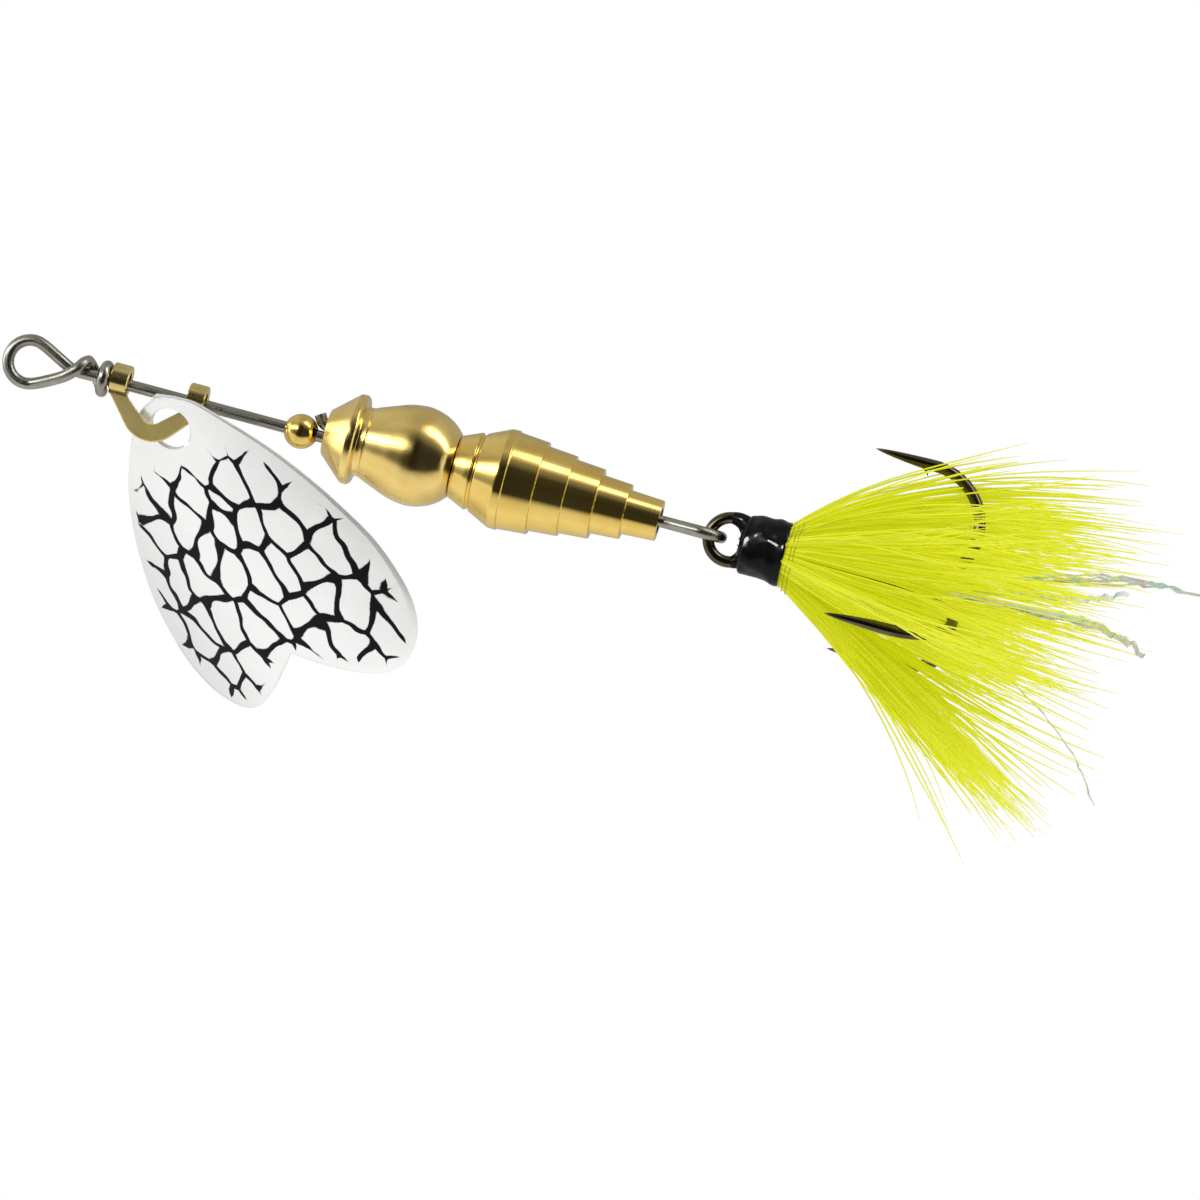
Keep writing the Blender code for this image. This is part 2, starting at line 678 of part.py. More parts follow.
def strand_path(root, draw):
    """Return a strand's root, middle and tip, fanned out by its place in the collar."""
    offset = Vector((root.x - BODY_X, root.y))
    share = (offset.length - HAIR_COLLAR[0]) / (HAIR_COLLAR[1] - HAIR_COLLAR[0])
    azimuth = math.degrees(math.atan2(offset.y, offset.x))
    upper = max(0.0, math.cos(math.radians(azimuth)))
    cone = HAIR_CONE[0] + (HAIR_CONE[1] - HAIR_CONE[0] - HAIR_DROOP * upper) * share
    cone += draw.uniform(-HAIR_WANDER[0], HAIR_WANDER[0])
    azimuth += draw.uniform(-HAIR_WANDER[1], HAIR_WANDER[1])
    length = draw.uniform(*HAIR_LENGTH) * (1.0 - HAIR_SHORTER * share)
    path = [root]
    for part, bend, sunk in HAIR_CURVE:
        angle = math.radians(cone * (bend + sunk * upper))
        x, y = polar(math.sin(angle) * length * part, azimuth)
        path.append(root + Vector((x, y, -math.cos(angle) * length * part)))
    return path


def make_hair(name, azimuth, field, draw, material, pivot):
    """Bunch of hair: a slice of the tied roots, with a strand drawn out of each cell."""
    bm = bmesh.new()
    bmesh.ops.create_grid(bm, x_segments=HAIR_COLUMNS, y_segments=HAIR_ROWS, size=0.5)
    roots = list(bm.faces)
    slab = bmesh.ops.extrude_face_region(bm, geom=roots)
    lifted = {item for item in slab["geom"] if isinstance(item, bmesh.types.BMVert)}
    for vert in bm.verts:
        radius = HAIR_COLLAR[0] + (HAIR_COLLAR[1] - HAIR_COLLAR[0]) * (vert.co.y + 0.5)
        x, y = polar(radius, azimuth + HAIR_SPREAD * vert.co.x)
        z = HAIR_COLLAR_Z[0] if vert in lifted else HAIR_COLLAR_Z[1]
        vert.co = Vector((BODY_X + x, y, z))
    lower = [face for face in bm.faces if all(v.co.z < HAIR_COLLAR_Z[1] + 1e-4 for v in face.verts)]
    cells = bmesh.ops.triangulate(bm, faces=lower)["faces"]
    kept = []
    for cell in cells:
        path = strand_path(cell.calc_center_median(), draw)
        radii = [HAIR_INSET, HAIR_MID_R, HAIR_TIP_R]
        if field.is_clear(path, radii):
            field.add(path, radii)
            kept.append((cell, path))
    bmesh.ops.inset_individual(bm, faces=[cell for cell, path in kept], thickness=HAIR_INSET)
    for cell, path in kept:
        draw_strand(bm, cell, path)
    print(name, "strands:", len(kept))
    return make_object(name, bm, material, pivot)


def draw_strand(bm, cell, path):
    """Draw a three-sided strand out of a cell of the collar, and close it in a point."""
    root, middle, tip = path
    section = bmesh.ops.extrude_discrete_faces(bm, faces=[cell])["faces"][0]
    for vert in section.verts:
        outward = (vert.co - root).normalized()
        vert.co = middle + outward * HAIR_MID_R
    end = bmesh.ops.extrude_discrete_faces(bm, faces=[section])["faces"][0]
    bmesh.ops.pointmerge(bm, verts=end.verts, merge_co=tip)


def make_treble_dressing(materials, pivot):
    """Tinsel and hair, laid so that no strand touches a hook or another strand."""
    field = HairField()
    for degrees in HOOK_ANGLES.values():
        path, radii = hook_path(degrees)
        field.add(path, [radius + HOOK_CLEAR for radius in radii])
    for name, (azimuth, cone, length) in TINSEL.items():
        path = tinsel_path(azimuth, cone, length)
        field.add(path, [TINSEL_WIDTH / 2 + TINSEL_CLEAR] * len(path))
        make_tinsel(name, azimuth, cone, length, materials["tinsel"], pivot)
    draw = random.Random(SEED)
    for name, azimuth in HAIR_BUNCHES.items():
        make_hair(name, azimuth, field, draw, materials["hair"], pivot)


def make_materials():
    """Return the lure's finishes by name."""
    return {
        "steel": make_material("steel_wire", (0.42, 0.42, 0.43), 0.28, 1.0),
        "clevis": make_material("stamped_brass", (0.55, 0.42, 0.16), 0.30, 1.0),
        "blade": make_material("silver_plate", (0.86, 0.86, 0.88), 0.18, 1.0),
        "bead": make_material("bead_brass", (0.60, 0.45, 0.18), 0.22, 1.0),
        "brass": make_material("turned_brass", (0.83, 0.60, 0.22), 0.20, 1.0),
        "hook": make_material("bronzed_steel", (0.10, 0.08, 0.06), 0.35, 1.0),
        "thread": make_material("black_thread", (0.01, 0.01, 0.012), 0.15, 0.0),
        "hair": make_material("chartreuse_hair", (0.68, 0.78, 0.02), 0.55, 0.0),
        "tinsel": make_material("pearl_tinsel", (0.70, 0.82, 0.76), 0.20, 0.4)}


def main():
    """Build the lure from the line eye to the tail."""
    reset_scene()
    materials = make_materials()
    make_shaft_wire(materials["steel"])
    clevis_axis = make_pivot("clevis_axis", (0.0, 0.0, CLEVIS_MID))
    make_clevis(materials["clevis"], clevis_axis)
    blade_pivot = make_pivot("blade_pivot", (CLEVIS_ARC_X, CLEVIS_LEAF_Y, CLEVIS_MID), clevis_axis)
    make_blade(materials["blade"], blade_pivot)
    make_bead(materials["bead"], make_pivot("bead_axis", (0.0, 0.0, BEAD_Z)))
    front_axis = make_pivot("front_body_axis", (BODY_X, 0.0, BODY_FRONT))
    make_front_body(materials["brass"], front_axis)
    rear_axis = make_pivot("rear_body_axis", (BODY_X, 0.0, BODY_FRONT - BODY_SEAM))
    make_rear_body(materials["brass"], rear_axis)
    treble_pivot = make_pivot("treble_pivot", (BODY_X, 0.0, LOOP_TIP))
    make_hook_pair(materials["hook"], treble_pivot)
    make_hook_third(materials["hook"], treble_pivot)
    make_thread_head(materials["thread"], treble_pivot)
    make_treble_dressing(materials, treble_pivot)


main()
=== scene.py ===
"""Looks of an inline spinner: bent wire, stamped clevis, printed blade, turned brass, dressed treble.

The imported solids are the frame, and every piece here stands where its solid is. Sizes are in
millimetres and angles in degrees, in the lure's own frame: the line eye is at the origin, the shaft
runs down -Z, the blade faces -Y, and the photographed picture's upper side is +X. Meshes are scaled
to metres as they are made.
"""

import json
import logging
import math
from dataclasses import dataclass
from enum import Enum
from functools import cache
from typing import TypeAlias

import bmesh
import bpy
import numpy as np
from mathutils import Matrix, Vector, noise

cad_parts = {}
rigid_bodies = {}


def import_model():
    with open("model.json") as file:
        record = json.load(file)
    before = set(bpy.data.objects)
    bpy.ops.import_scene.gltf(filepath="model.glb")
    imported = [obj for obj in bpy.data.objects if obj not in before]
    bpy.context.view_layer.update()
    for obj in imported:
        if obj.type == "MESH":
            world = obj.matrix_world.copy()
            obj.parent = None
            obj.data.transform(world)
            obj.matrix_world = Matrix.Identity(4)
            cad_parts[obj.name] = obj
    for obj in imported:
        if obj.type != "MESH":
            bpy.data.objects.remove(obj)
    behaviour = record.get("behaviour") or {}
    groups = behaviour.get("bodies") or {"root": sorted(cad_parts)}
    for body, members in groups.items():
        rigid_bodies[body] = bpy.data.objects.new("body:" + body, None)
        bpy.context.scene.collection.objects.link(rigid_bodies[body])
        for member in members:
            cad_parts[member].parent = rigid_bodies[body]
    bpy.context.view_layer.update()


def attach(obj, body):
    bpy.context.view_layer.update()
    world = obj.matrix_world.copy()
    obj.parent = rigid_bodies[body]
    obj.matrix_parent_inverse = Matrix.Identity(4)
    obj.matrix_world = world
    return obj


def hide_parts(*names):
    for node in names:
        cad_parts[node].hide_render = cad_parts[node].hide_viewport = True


LOG = logging.getLogger("inline_spinner")
MM = 0.001
BODY_X = 0.41                   # axis of the body and the treble, beside the shaft
FILLET_REACH = 0.45             # share of a side that a rounded corner may take
THREAD_POINTS = 48              # points in a turn of thread
THREAD_WAVES = 420.0            # waves of unevenness in a metre of thread
THREAD_SIDES = 8
HAIR_SIDES = 3
HAIR_OUTMOST = 1.06             # share of its lock's cone that a hair may stand out to
HAIR_LIFT = 0.35                # share of a hair's sway that also lifts it
HAIR_THINNING = (0.8, 5.0)      # how much of a hair's thickness its tip loses, and how late
TUFT_LENGTH_DRAW = 3            # draw for a tuft's length, from the range that its lock gives

Colour = tuple[float, float, float]
Pair = tuple[float, float]
Spot = tuple[float, float, float]
Number: TypeAlias = "Value | float"


def polar(radius: float, degrees: float) -> Pair:
    """Return x and y of a point at a radius and an angle."""
    return radius * math.cos(math.radians(degrees)), radius * math.sin(math.radians(degrees))


def arc(radius: float, start: float, end: float, count: int) -> list[Pair]:
    """Return points on a circle round the origin, evenly from one angle to another."""
    return [polar(radius, turned) for turned in np.linspace(start, end, count)]


def between(ends: Pair, share: float) -> float:
    """Return the value at a share of the way from one end to the other."""
    return ends[0] + (ends[1] - ends[0]) * share


def ease(share: float) -> float:
    """Return a share held to 1 that starts and ends gently."""
    held = min(share, 1.0)
    return held * held * (3.0 - 2.0 * held)


def smooth(points: list, steps: int) -> list[Vector]:
    """Draw a smooth curve through points.

    Args:
        points: Points that the curve passes through.
        steps: Number of steps between each two points.

    Returns:
        The points of the curve.
    """
    known = [Vector(point) for point in points]
    ends = [2 * known[0] - known[1], *known, 2 * known[-1] - known[-2]]
    curve = []
    for p0, p1, p2, p3 in zip(ends, ends[1:], ends[2:], ends[3:]):
        for step in range(steps):
            t = step / steps
            curve.append(0.5 * (2 * p1 + (p2 - p0) * t + (2 * p0 - 5 * p1 + 4 * p2 - p3) * t ** 2
                                + (3 * p1 - p0 - 3 * p2 + p3) * t ** 3))
    curve.append(known[-1])
    return curve


def fillet(points: list[Pair], radius: float, steps: int = 3) -> list[Pair]:
    """Round the corners of an open outline.

    Args:
        points: Corners of the outline.
        radius: Length cut from each side of a corner.
        steps: Number of steps round a corner.

    Returns:
        The outline with its inner corners rounded.
    """
    rounded = [Vector(points[0])]
    for before, corner, after in zip(points, points[1:], points[2:]):
        middle = Vector(corner)
        back = Vector(before) - middle
        on = Vector(after) - middle
        start = middle + back.normalized() * min(radius, back.length * FILLET_REACH)
        end = middle + on.normalized() * min(radius, on.length * FILLET_REACH)
        for step in range(steps + 1):
            t = step / steps
            rounded.append(start * (1 - t) ** 2 + middle * 2 * t * (1 - t) + end * t ** 2)
    rounded.append(Vector(points[-1]))
    return [(point.x, point.y) for point in rounded]


class Draft:
    """Points and faces of a piece under construction, in millimetres."""

    def __init__(self) -> None:
        """Start with nothing drawn."""
        self.points: list[Vector] = []
        self.faces: list[tuple[int, ...]] = []
        self.coats: list[int] = []
        self.marks: dict[str, list[float]] = {}

    def ring(self, points: list, **marks: list[float]) -> list[int]:
        """Add a row of points.

        Args:
            points: The row's points.
            marks: Named values, one for each point, that a finish reads.

        Returns:
            The points' numbers.
        """
        start = len(self.points)
        self.points.extend(Vector(point) for point in points)
        for name, values in marks.items():
            self.marks.setdefault(name, []).extend(values)
        return list(range(start, len(self.points)))

    def cap(self, ring: list[int], coat: int = 0) -> None:
        """Close a row of points with one face, in one of the piece's coats."""
        self.faces.append(tuple(ring))
        self.coats.append(coat)

    def bridge(self, rings: list[list[int]], coat: int = 0, closed: bool = True) -> None:
        """Join rows of points, each to the next.

        Args:
            rings: The rows, all of one length.
            coat: Number of the piece's coat on the new faces.
            closed: Whether each row runs round to its own start.
        """
        for low, high in zip(rings, rings[1:]):
            for index in range(len(low) if closed else len(low) - 1):
                after = (index + 1) % len(low)
                self.cap([low[index], low[after], high[after], high[index]], coat)

    def loft(self, rings: list[list[int]]) -> None:
        """Join rows of points to a body that is closed at both ends.

        Args:
            rings: The rows, all of one length.
        """
        self.bridge(rings)
        self.cap(rings[0][::-1])
        self.cap(rings[-1])

    def revolve(self, profile: list[Pair], segments: int, axis_x: float) -> None:
        """Turn a closed profile round an upright axis.

        Args:
            profile: Radius and height of the profile's points.
            segments: Number of steps round the axis.
            axis_x: Where the axis stands.
        """
        rings = []
        for step in range(segments):
            cosine, sine = polar(1.0, 360.0 * step / segments)
            rings.append(self.ring([(axis_x + r * cosine, r * sine, z) for r, z in profile]))
        self.bridge(rings + rings[:1])

    def mesh(self, sharp: float = 38.0) -> bpy.types.Mesh:
        """Make the mesh, in metres, with its faces pointing outwards.

        Args:
            sharp: Angle past which an edge stays sharp.

        Returns:
            The finished mesh.
        """
        made = bpy.data.meshes.new("draft")
        made.from_pydata([point * MM for point in self.points], [], self.faces)
        made.polygons.foreach_set("material_index", self.coats)
        for label, values in self.marks.items():
            layer = made.attributes.new(label, "FLOAT", "POINT")
            layer.data.foreach_set("value", values)
        bm = bmesh.new()
        bm.from_mesh(made)
        bmesh.ops.recalc_face_normals(bm, faces=bm.faces)
        bm.to_mesh(made)
        bm.free()
        made.shade_smooth()
        made.set_sharp_from_angle(angle=math.radians(sharp))
        return made


def line_mesh(points: list[Vector], radii: list[float] | None = None) -> bpy.types.Mesh:
    """Draw a line of edges, in metres.

    Args:
        points: The line's points.
        radii: Radius at each point, for a wire along the line.

    Returns:
        The line's mesh.
    """
    made = bpy.data.meshes.new("line")
    edges = [(index, index + 1) for index in range(len(points) - 1)]
    made.from_pydata([Vector(point) * MM for point in points], edges, [])
    if radii is not None:
        layer = made.attributes.new("radius_m", "FLOAT", "POINT")
        layer.data.foreach_set("value", [radius * MM for radius in radii])
    return made


def join_meshes(meshes: list[bpy.types.Mesh]) -> bpy.types.Mesh:
    """Join meshes that share one finish.

    Args:
        meshes: The meshes.

    Returns:
        One mesh with all their faces.
    """
    bm = bmesh.new()
    for mesh in meshes:
        bm.from_mesh(mesh)
    joined = meshes[0].copy()
    bm.to_mesh(joined)
    bm.free()
    return joined


def place_object(name: str, data: bpy.types.ID) -> bpy.types.Object:
    """Put something in the scene, at the origin.

    Args:
        name: Name of the new object and of its data.
        data: Its mesh, lamp or camera.

    Returns:
        The object.
    """
    data.name = name
    made = bpy.data.objects.new(name, data)
    bpy.context.scene.collection.objects.link(made)
    return made


def stand(thing: bpy.types.Object, place: Vector, right: Vector, up: Vector, back: Vector) -> None:
    """Place a lamp or a camera, turned to its own right, up and back."""
    turn = Matrix((right, up, back)).transposed().to_4x4()
    thing.matrix_world = Matrix.Translation(place * MM) @ turn


class Kind(Enum):
    """Kinds of socket on a node group."""

    GEOMETRY = "NodeSocketGeometry"
    NUMBER = "NodeSocketFloat"
    COUNT = "NodeSocketInt"
    VECTOR = "NodeSocketVector"
    MATERIAL = "NodeSocketMaterial"


class Family(Enum):
    """Families of node tree."""

    GEOMETRY = "GeometryNodeTree"
    SHADER = "ShaderNodeTree"


class Draw(Enum):
    """Random draws of a hair: the number added to its lock's seed, and the range drawn from."""

    TUFT_OUT = (0, 0.0, 1.0)
    TUFT_ASIDE = (1, -0.5, 0.5)
    LEAN = (2, -0.06, 0.06)     # radians
    PHASE = (4, 0.0, 6.283)
    WAVES = (5, 2.0, 5.0)
    SWAY = (6, 0.2, 1.0)
    SHADE = (7, 0.0, 1.0)
    THICKNESS = (8, 0.7, 1.15)
    OUT = (9, -0.2, 0.2)
    ASIDE = (10, -0.14, 0.14)
    LENGTH = (11, 0.52, 1.0)


class Value:
    """A socket of a node tree that can be reckoned with like a number."""

    def __init__(self, tree: "Tree", socket: bpy.types.NodeSocket) -> None:
        """Keep the socket and the tree that it is in."""
        self.tree = tree
        self.socket = socket

    def __add__(self, other: Number) -> "Value":
        """Return the sum."""
        return self.tree.math("ADD", self, other)

    def __sub__(self, other: Number) -> "Value":
        """Return the difference."""
        return self.tree.math("SUBTRACT", self, other)

    def __rsub__(self, other: float) -> "Value":
        """Return the difference from a plain number."""
        return self.tree.math("SUBTRACT", other, self)

    def __mul__(self, other: Number) -> "Value":
        """Return the product."""
        return self.tree.math("MULTIPLY", self, other)

    def __pow__(self, power: float) -> "Value":
        """Return the power."""
        return self.tree.math("POWER", self, power)

    __radd__ = __add__
    __rmul__ = __mul__


class Tree:
    """A node tree under construction."""

    def __init__(self, nodes: bpy.types.NodeTree) -> None:
        """Build in an existing node tree.

        Args:
            nodes: The node tree.
        """
        self.nodes = nodes
        self.entry: bpy.types.Node | None = None
        self.exit: bpy.types.Node | None = None

    @classmethod
    def group(cls, name: str, family: Family, inputs: dict[str, Kind],
              outputs: dict[str, Kind]) -> "Tree":
        """Start a node group.

        Args:
            name: Name of the group.
            family: Shader or geometry.
            inputs: Named inputs and their kinds.
            outputs: Named outputs and their kinds.

        Returns:
            The tree, with its entry and exit nodes.
        """
        made = bpy.data.node_groups.new(name, family.value)
        for way, sockets in (("INPUT", inputs), ("OUTPUT", outputs)):
            for label, kind in sockets.items():
                made.interface.new_socket(label, in_out=way, socket_type=kind.value)
        tree = cls(made)
        tree.entry = made.nodes.new("NodeGroupInput")
        tree.exit = made.nodes.new("NodeGroupOutput")
        return tree

    def feed(self, socket: bpy.types.NodeSocket, value: object) -> None:
        """Link a value to a socket, or set the socket to a plain value.

        Args:
            socket: The socket.
            value: A value of this tree, or a plain one.
        """
        if isinstance(value, Value):
            self.nodes.links.new(value.socket, socket)
        else:
            socket.default_value = value

    def add(self, kind: str, inputs: dict | None = None, **settings: object) -> bpy.types.Node:
        """Add a node.

        Args:
            kind: The node's type.
            inputs: Values for its sockets, by name or number.
            settings: The node's own options.

        Returns:
            The node.
        """
        node = self.nodes.nodes.new(kind)
        for name, option in settings.items():
            setattr(node, name, option)
        for key, value in (inputs or {}).items():
            self.feed(node.inputs[key], value)
        return node

    def take(self, node: bpy.types.Node, key: str | int = 0) -> Value:
        """Return one of a node's outputs."""
        return Value(self, node.outputs[key])

    def value(self, kind: str, inputs: dict | None = None, key: str | int = 0,
              **settings: object) -> Value:
        """Add a node and return one of its outputs."""
        return self.take(self.add(kind, inputs, **settings), key)

    def given(self, label: str) -> Value:
        """Return one of the group's own inputs."""
        return self.take(self.entry, label)

    def give(self, label: str, value: Value) -> None:
        """Link a value to one of the group's outputs."""
        self.feed(self.exit.inputs[label], value)

    def math(self, operation: str, first: Number, second: Number = 0.0) -> Value:
        """Return the result of an operation on one or two numbers."""
        return self.value("ShaderNodeMath", {0: first, 1: second}, operation=operation)

    def vector(self, x: Number, y: Number, z: Number) -> Value:
        """Return a vector made of three numbers."""
        return self.value("ShaderNodeCombineXYZ", {"X": x, "Y": y, "Z": z})

    def parts(self, vector: Value) -> list[Value]:
        """Return a vector's three numbers."""
        node = self.add("ShaderNodeSeparateXYZ", {0: vector})
        return [self.take(node, axis) for axis in "XYZ"]

    def step(self, value: Value, low: Number, high: Number, bottom: float = 0.0,
             top: float = 1.0) -> Value:
        """Return a smooth rise from bottom to top as a value goes from low to high."""
        return self.value("ShaderNodeMapRange", {0: value, 1: low, 2: high, 3: bottom, 4: top},
                          interpolation_type="SMOOTHSTEP")

    def noise(self, place: Value, scale: Number, detail: float = 2.0) -> Value:
        """Return cloudy noise of a scale, from 0 to 1."""
        return self.value("ShaderNodeTexNoise", {"Vector": place, "Scale": scale, "Detail": detail}, "Fac")

    def wobble(self, place: Value, scale: float, reach: Number, detail: float = 1.0) -> Value:
        """Return cloudy noise of a scale that goes half a reach each way."""
        return (self.noise(place, scale, detail) - 0.5) * reach


class GrowthTree(Tree):
    """A geometry tree that draws thin pieces along curves."""

    @classmethod
    def start(cls, name: str, inputs: dict[str, Kind]) -> "GrowthTree":
        """Start a geometry tree with a Material input and named inputs of its own."""
        sockets = {"Geometry": Kind.GEOMETRY, **inputs, "Material": Kind.MATERIAL}
        return cls.group(name, Family.GEOMETRY, sockets, {"Geometry": Kind.GEOMETRY})

    def random(self, low: Number, high: Number, draw: int, item: Value) -> Value:
        """Return a random number for each item, by the tree's Seed input and the draw's number."""
        seed = self.given("Seed") + draw
        return self.value("FunctionNodeRandomValue", {2: low, 3: high, "ID": item, "Seed": seed}, 1,
                          data_type="FLOAT")

    def drawn(self, draw: Draw, item: Value) -> Value:
        """Return a random number for each item, by one of a hair's draws."""
        number, low, high = draw.value
        return self.random(low, high, number, item)

    def keep(self, shape: Value, label: str, value: Value) -> Value:
        """Store a named value on each point of a shape."""
        return self.value("GeometryNodeStoreNamedAttribute",
                          {"Geometry": shape, "Name": label, "Value": value})

    def sweep(self, curve: Value, profile: Value, scale: Number = 1.0) -> Value:
        """Return a profile drawn along curves, closed at its ends."""
        return self.value("GeometryNodeCurveToMesh", {
            "Curve": curve, "Profile Curve": profile, "Scale": scale, "Fill Caps": True})

    def tube(self, curve: Value, radius: Value, sides: "Value | int") -> Value:
        """Return a round tube along curves, closed at its ends."""
        circle = self.value("GeometryNodeCurvePrimitiveCircle", {"Resolution": sides, "Radius": 1.0})
        return self.sweep(curve, circle, radius)

    def end(self, shape: Value, round_shading: bool = True) -> None:
        """Shade a shape, realise it, give it the tree's Material input and put it out.

        Args:
            shape: The finished shape.
            round_shading: Whether its faces are shaded as one smooth skin.
        """
        shaded = self.value("GeometryNodeSetShadeSmooth",
                            {"Geometry": shape, "Shade Smooth": round_shading})
        real = self.value("GeometryNodeRealizeInstances", {"Geometry": shaded})
        self.give("Geometry", self.value("GeometryNodeSetMaterial", {
            "Geometry": real, "Material": self.given("Material")}))

    def grow(self, inputs: dict, base: bpy.types.Mesh | None = None) -> bpy.types.Mesh:
        """Run the tree.

        Args:
            inputs: Values of the tree's named inputs.
            base: The mesh that it starts from, where it needs one.

        Returns:
            The result as a plain mesh.
        """
        holder = place_object("holder", base or bpy.data.meshes.new("none"))
        modifier = holder.modifiers.new("growth", "NODES")
        modifier.node_group = self.nodes
        for socket in self.nodes.interface.items_tree:
            if socket.in_out == "INPUT" and socket.name in inputs:
                modifier[socket.identifier] = inputs[socket.name]
        graph = bpy.context.evaluated_depsgraph_get()
        made = bpy.data.meshes.new_from_object(
            holder.evaluated_get(graph), preserve_all_data_layers=True, depsgraph=graph)
        bpy.data.objects.remove(holder)
        return made


def wire_tree() -> GrowthTree:
    """Build the tree that draws a round wire along a line, as thick as its points say.

    Returns:
        The tree.
    """
    tree = GrowthTree.start("round_wire", {"Sides": Kind.COUNT})
    line = tree.value("GeometryNodeMeshToCurve", {"Mesh": tree.given("Geometry")})
    radius = tree.value("GeometryNodeInputNamedAttribute", {"Name": "radius_m"})
    tree.end(tree.tube(line, radius, tree.given("Sides")))
    return tree


def ribbon_tree() -> GrowthTree:
    """Build the tree that draws a crinkled flat ribbon along a line.

    Returns:
        The tree.
    """
    tree = GrowthTree.start("ribbon", {"Width": Kind.NUMBER, "Thickness": Kind.NUMBER,
                                       "Points": Kind.COUNT, "Crinkle": Kind.NUMBER,
                                       "Seed": Kind.COUNT})
    line = tree.value("GeometryNodeMeshToCurve", {"Mesh": tree.given("Geometry")})
    fine = tree.value("GeometryNodeResampleCurve", {"Curve": line, "Count": tree.given("Points")})
    along = tree.value("GeometryNodeSplineParameter", key="Factor")
    index = tree.value("GeometryNodeInputIndex")
    reach = tree.given("Crinkle") * along
    sheen_draw = 3              # after those for the shift in x, y and z
    shift = tree.vector(*(tree.random(-1.0, 1.0, draw, index) * reach for draw in range(sheen_draw)))
    bent = tree.value("GeometryNodeSetPosition", {"Geometry": fine, "Offset": shift})
    marked = tree.keep(bent, "sheen", tree.random(0.0, 1.0, sheen_draw, index))
    profile = tree.value("GeometryNodeCurvePrimitiveQuadrilateral",
                         {"Width": tree.given("Width"), "Height": tree.given("Thickness")})
    tree.end(tree.sweep(marked, profile), round_shading=False)
    return tree


def winding_tree() -> GrowthTree:
    """Build the tree that winds thread in uneven turns round a tapering core, from its lower end up.

    Returns:
        The tree.
    """
    numbers = ("Turns", "Start Radius", "End Radius", "Height", "Thread Radius", "Unevenness")
    tree = GrowthTree.start("thread_winding", {**dict.fromkeys(numbers, Kind.NUMBER),
                                               "Place": Kind.VECTOR, "Seed": Kind.COUNT})
    spiral = tree.value("GeometryNodeCurveSpiral", {
        "Resolution": THREAD_POINTS, "Rotations": tree.given("Turns"),
        "Start Radius": tree.given("Start Radius"), "End Radius": tree.given("End Radius"),
        "Height": tree.given("Height")})
    placed = tree.value("GeometryNodeTransform",
                        {"Geometry": spiral, "Translation": tree.given("Place")})
    along = tree.value("GeometryNodeSplineParameter", key="Length")
    seeded = tree.vector(along * THREAD_WAVES, tree.given("Seed"), 0.0)
    lift = tree.wobble(seeded, 1.0, tree.given("Unevenness"), detail=2.0)
    moved = tree.value("GeometryNodeSetPosition",
                       {"Geometry": placed, "Offset": tree.vector(0.0, 0.0, lift)})
    tree.end(tree.tube(moved, tree.given("Thread Radius"), THREAD_SIDES))
    return tree


def hair_tree() -> GrowthTree:
    """Build the tree that grows a lock of tapering hairs out of the tied root.

    Returns:
        The tree, with angles in radians and lengths in metres.
    """
    counts = ("Strands", "Points", "Seed", "Tuft Size")
    numbers = ("Azimuth", "Spread", "Root Inner", "Root Outer", "Root Z", "Cone Inner", "Cone Outer",
               "Length Min", "Length Max", "Flare", "Pull", "Wave", "Tuft", "Radius", "Axis X")
    tree = GrowthTree.start("hair_lock", {**dict.fromkeys(counts, Kind.COUNT),
                                          **dict.fromkeys(numbers, Kind.NUMBER)})
    given = tree.given
    line = tree.value("GeometryNodeCurvePrimitiveLine")
    fine = tree.value("GeometryNodeResampleCurve", {"Curve": line, "Count": given("Points")})
    copies = tree.value("GeometryNodeDuplicateElements",
                        {"Geometry": fine, "Amount": given("Strands")}, domain="SPLINE")
    strand = tree.value("GeometryNodeCurveOfPoint", key="Curve Index")
    along = tree.value("GeometryNodeSplineParameter", key="Factor")

    tuft = tree.math("FLOOR", tree.math("DIVIDE", strand, given("Tuft Size")))
    loose = 1.0 - given("Tuft") * along
    out = tree.drawn(Draw.TUFT_OUT, tuft) ** 0.5 + tree.drawn(Draw.OUT, strand) * loose
    out = tree.math("MINIMUM", tree.math("MAXIMUM", out, 0.0), HAIR_OUTMOST)
    aside = tree.drawn(Draw.TUFT_ASIDE, tuft) + tree.drawn(Draw.ASIDE, strand) * loose
    root = given("Root Inner") + (given("Root Outer") - given("Root Inner")) * out
    cone = given("Cone Inner") + (given("Cone Outer") - given("Cone Inner")) * out
    cone = cone + tree.drawn(Draw.LEAN, strand)
    length = tree.random(given("Length Min"), given("Length Max"), TUFT_LENGTH_DRAW, tuft)
    run = length * tree.drawn(Draw.LENGTH, strand) * along

    angle = cone * (1.0 + given("Flare") * (1.0 - along))
    turned = given("Azimuth") + given("Spread") * aside * (1.0 - given("Pull") * along)
    phase = tree.drawn(Draw.PHASE, strand)
    swing = tree.math("SINE", along * tree.drawn(Draw.WAVES, strand) + phase)
    sway = swing * given("Wave") * along * tree.drawn(Draw.SWAY, strand)
    turned = turned + sway
    angle = angle + sway * HAIR_LIFT
    reach = root + run * tree.math("SINE", angle)
    place = tree.vector(given("Axis X") + reach * tree.math("COSINE", turned),
                        reach * tree.math("SINE", turned),
                        given("Root Z") - run * tree.math("COSINE", angle))
    combed = tree.value("GeometryNodeSetPosition", {"Geometry": copies, "Position": place})
    marked = tree.keep(combed, "strand", tree.drawn(Draw.SHADE, strand))
    marked = tree.keep(marked, "along", along)
    thinning, late = HAIR_THINNING
    taper = 1.0 - thinning * along ** late
    radius = given("Radius") * taper * tree.drawn(Draw.THICKNESS, strand)
    tree.end(tree.tube(marked, radius, HAIR_SIDES))
    return tree


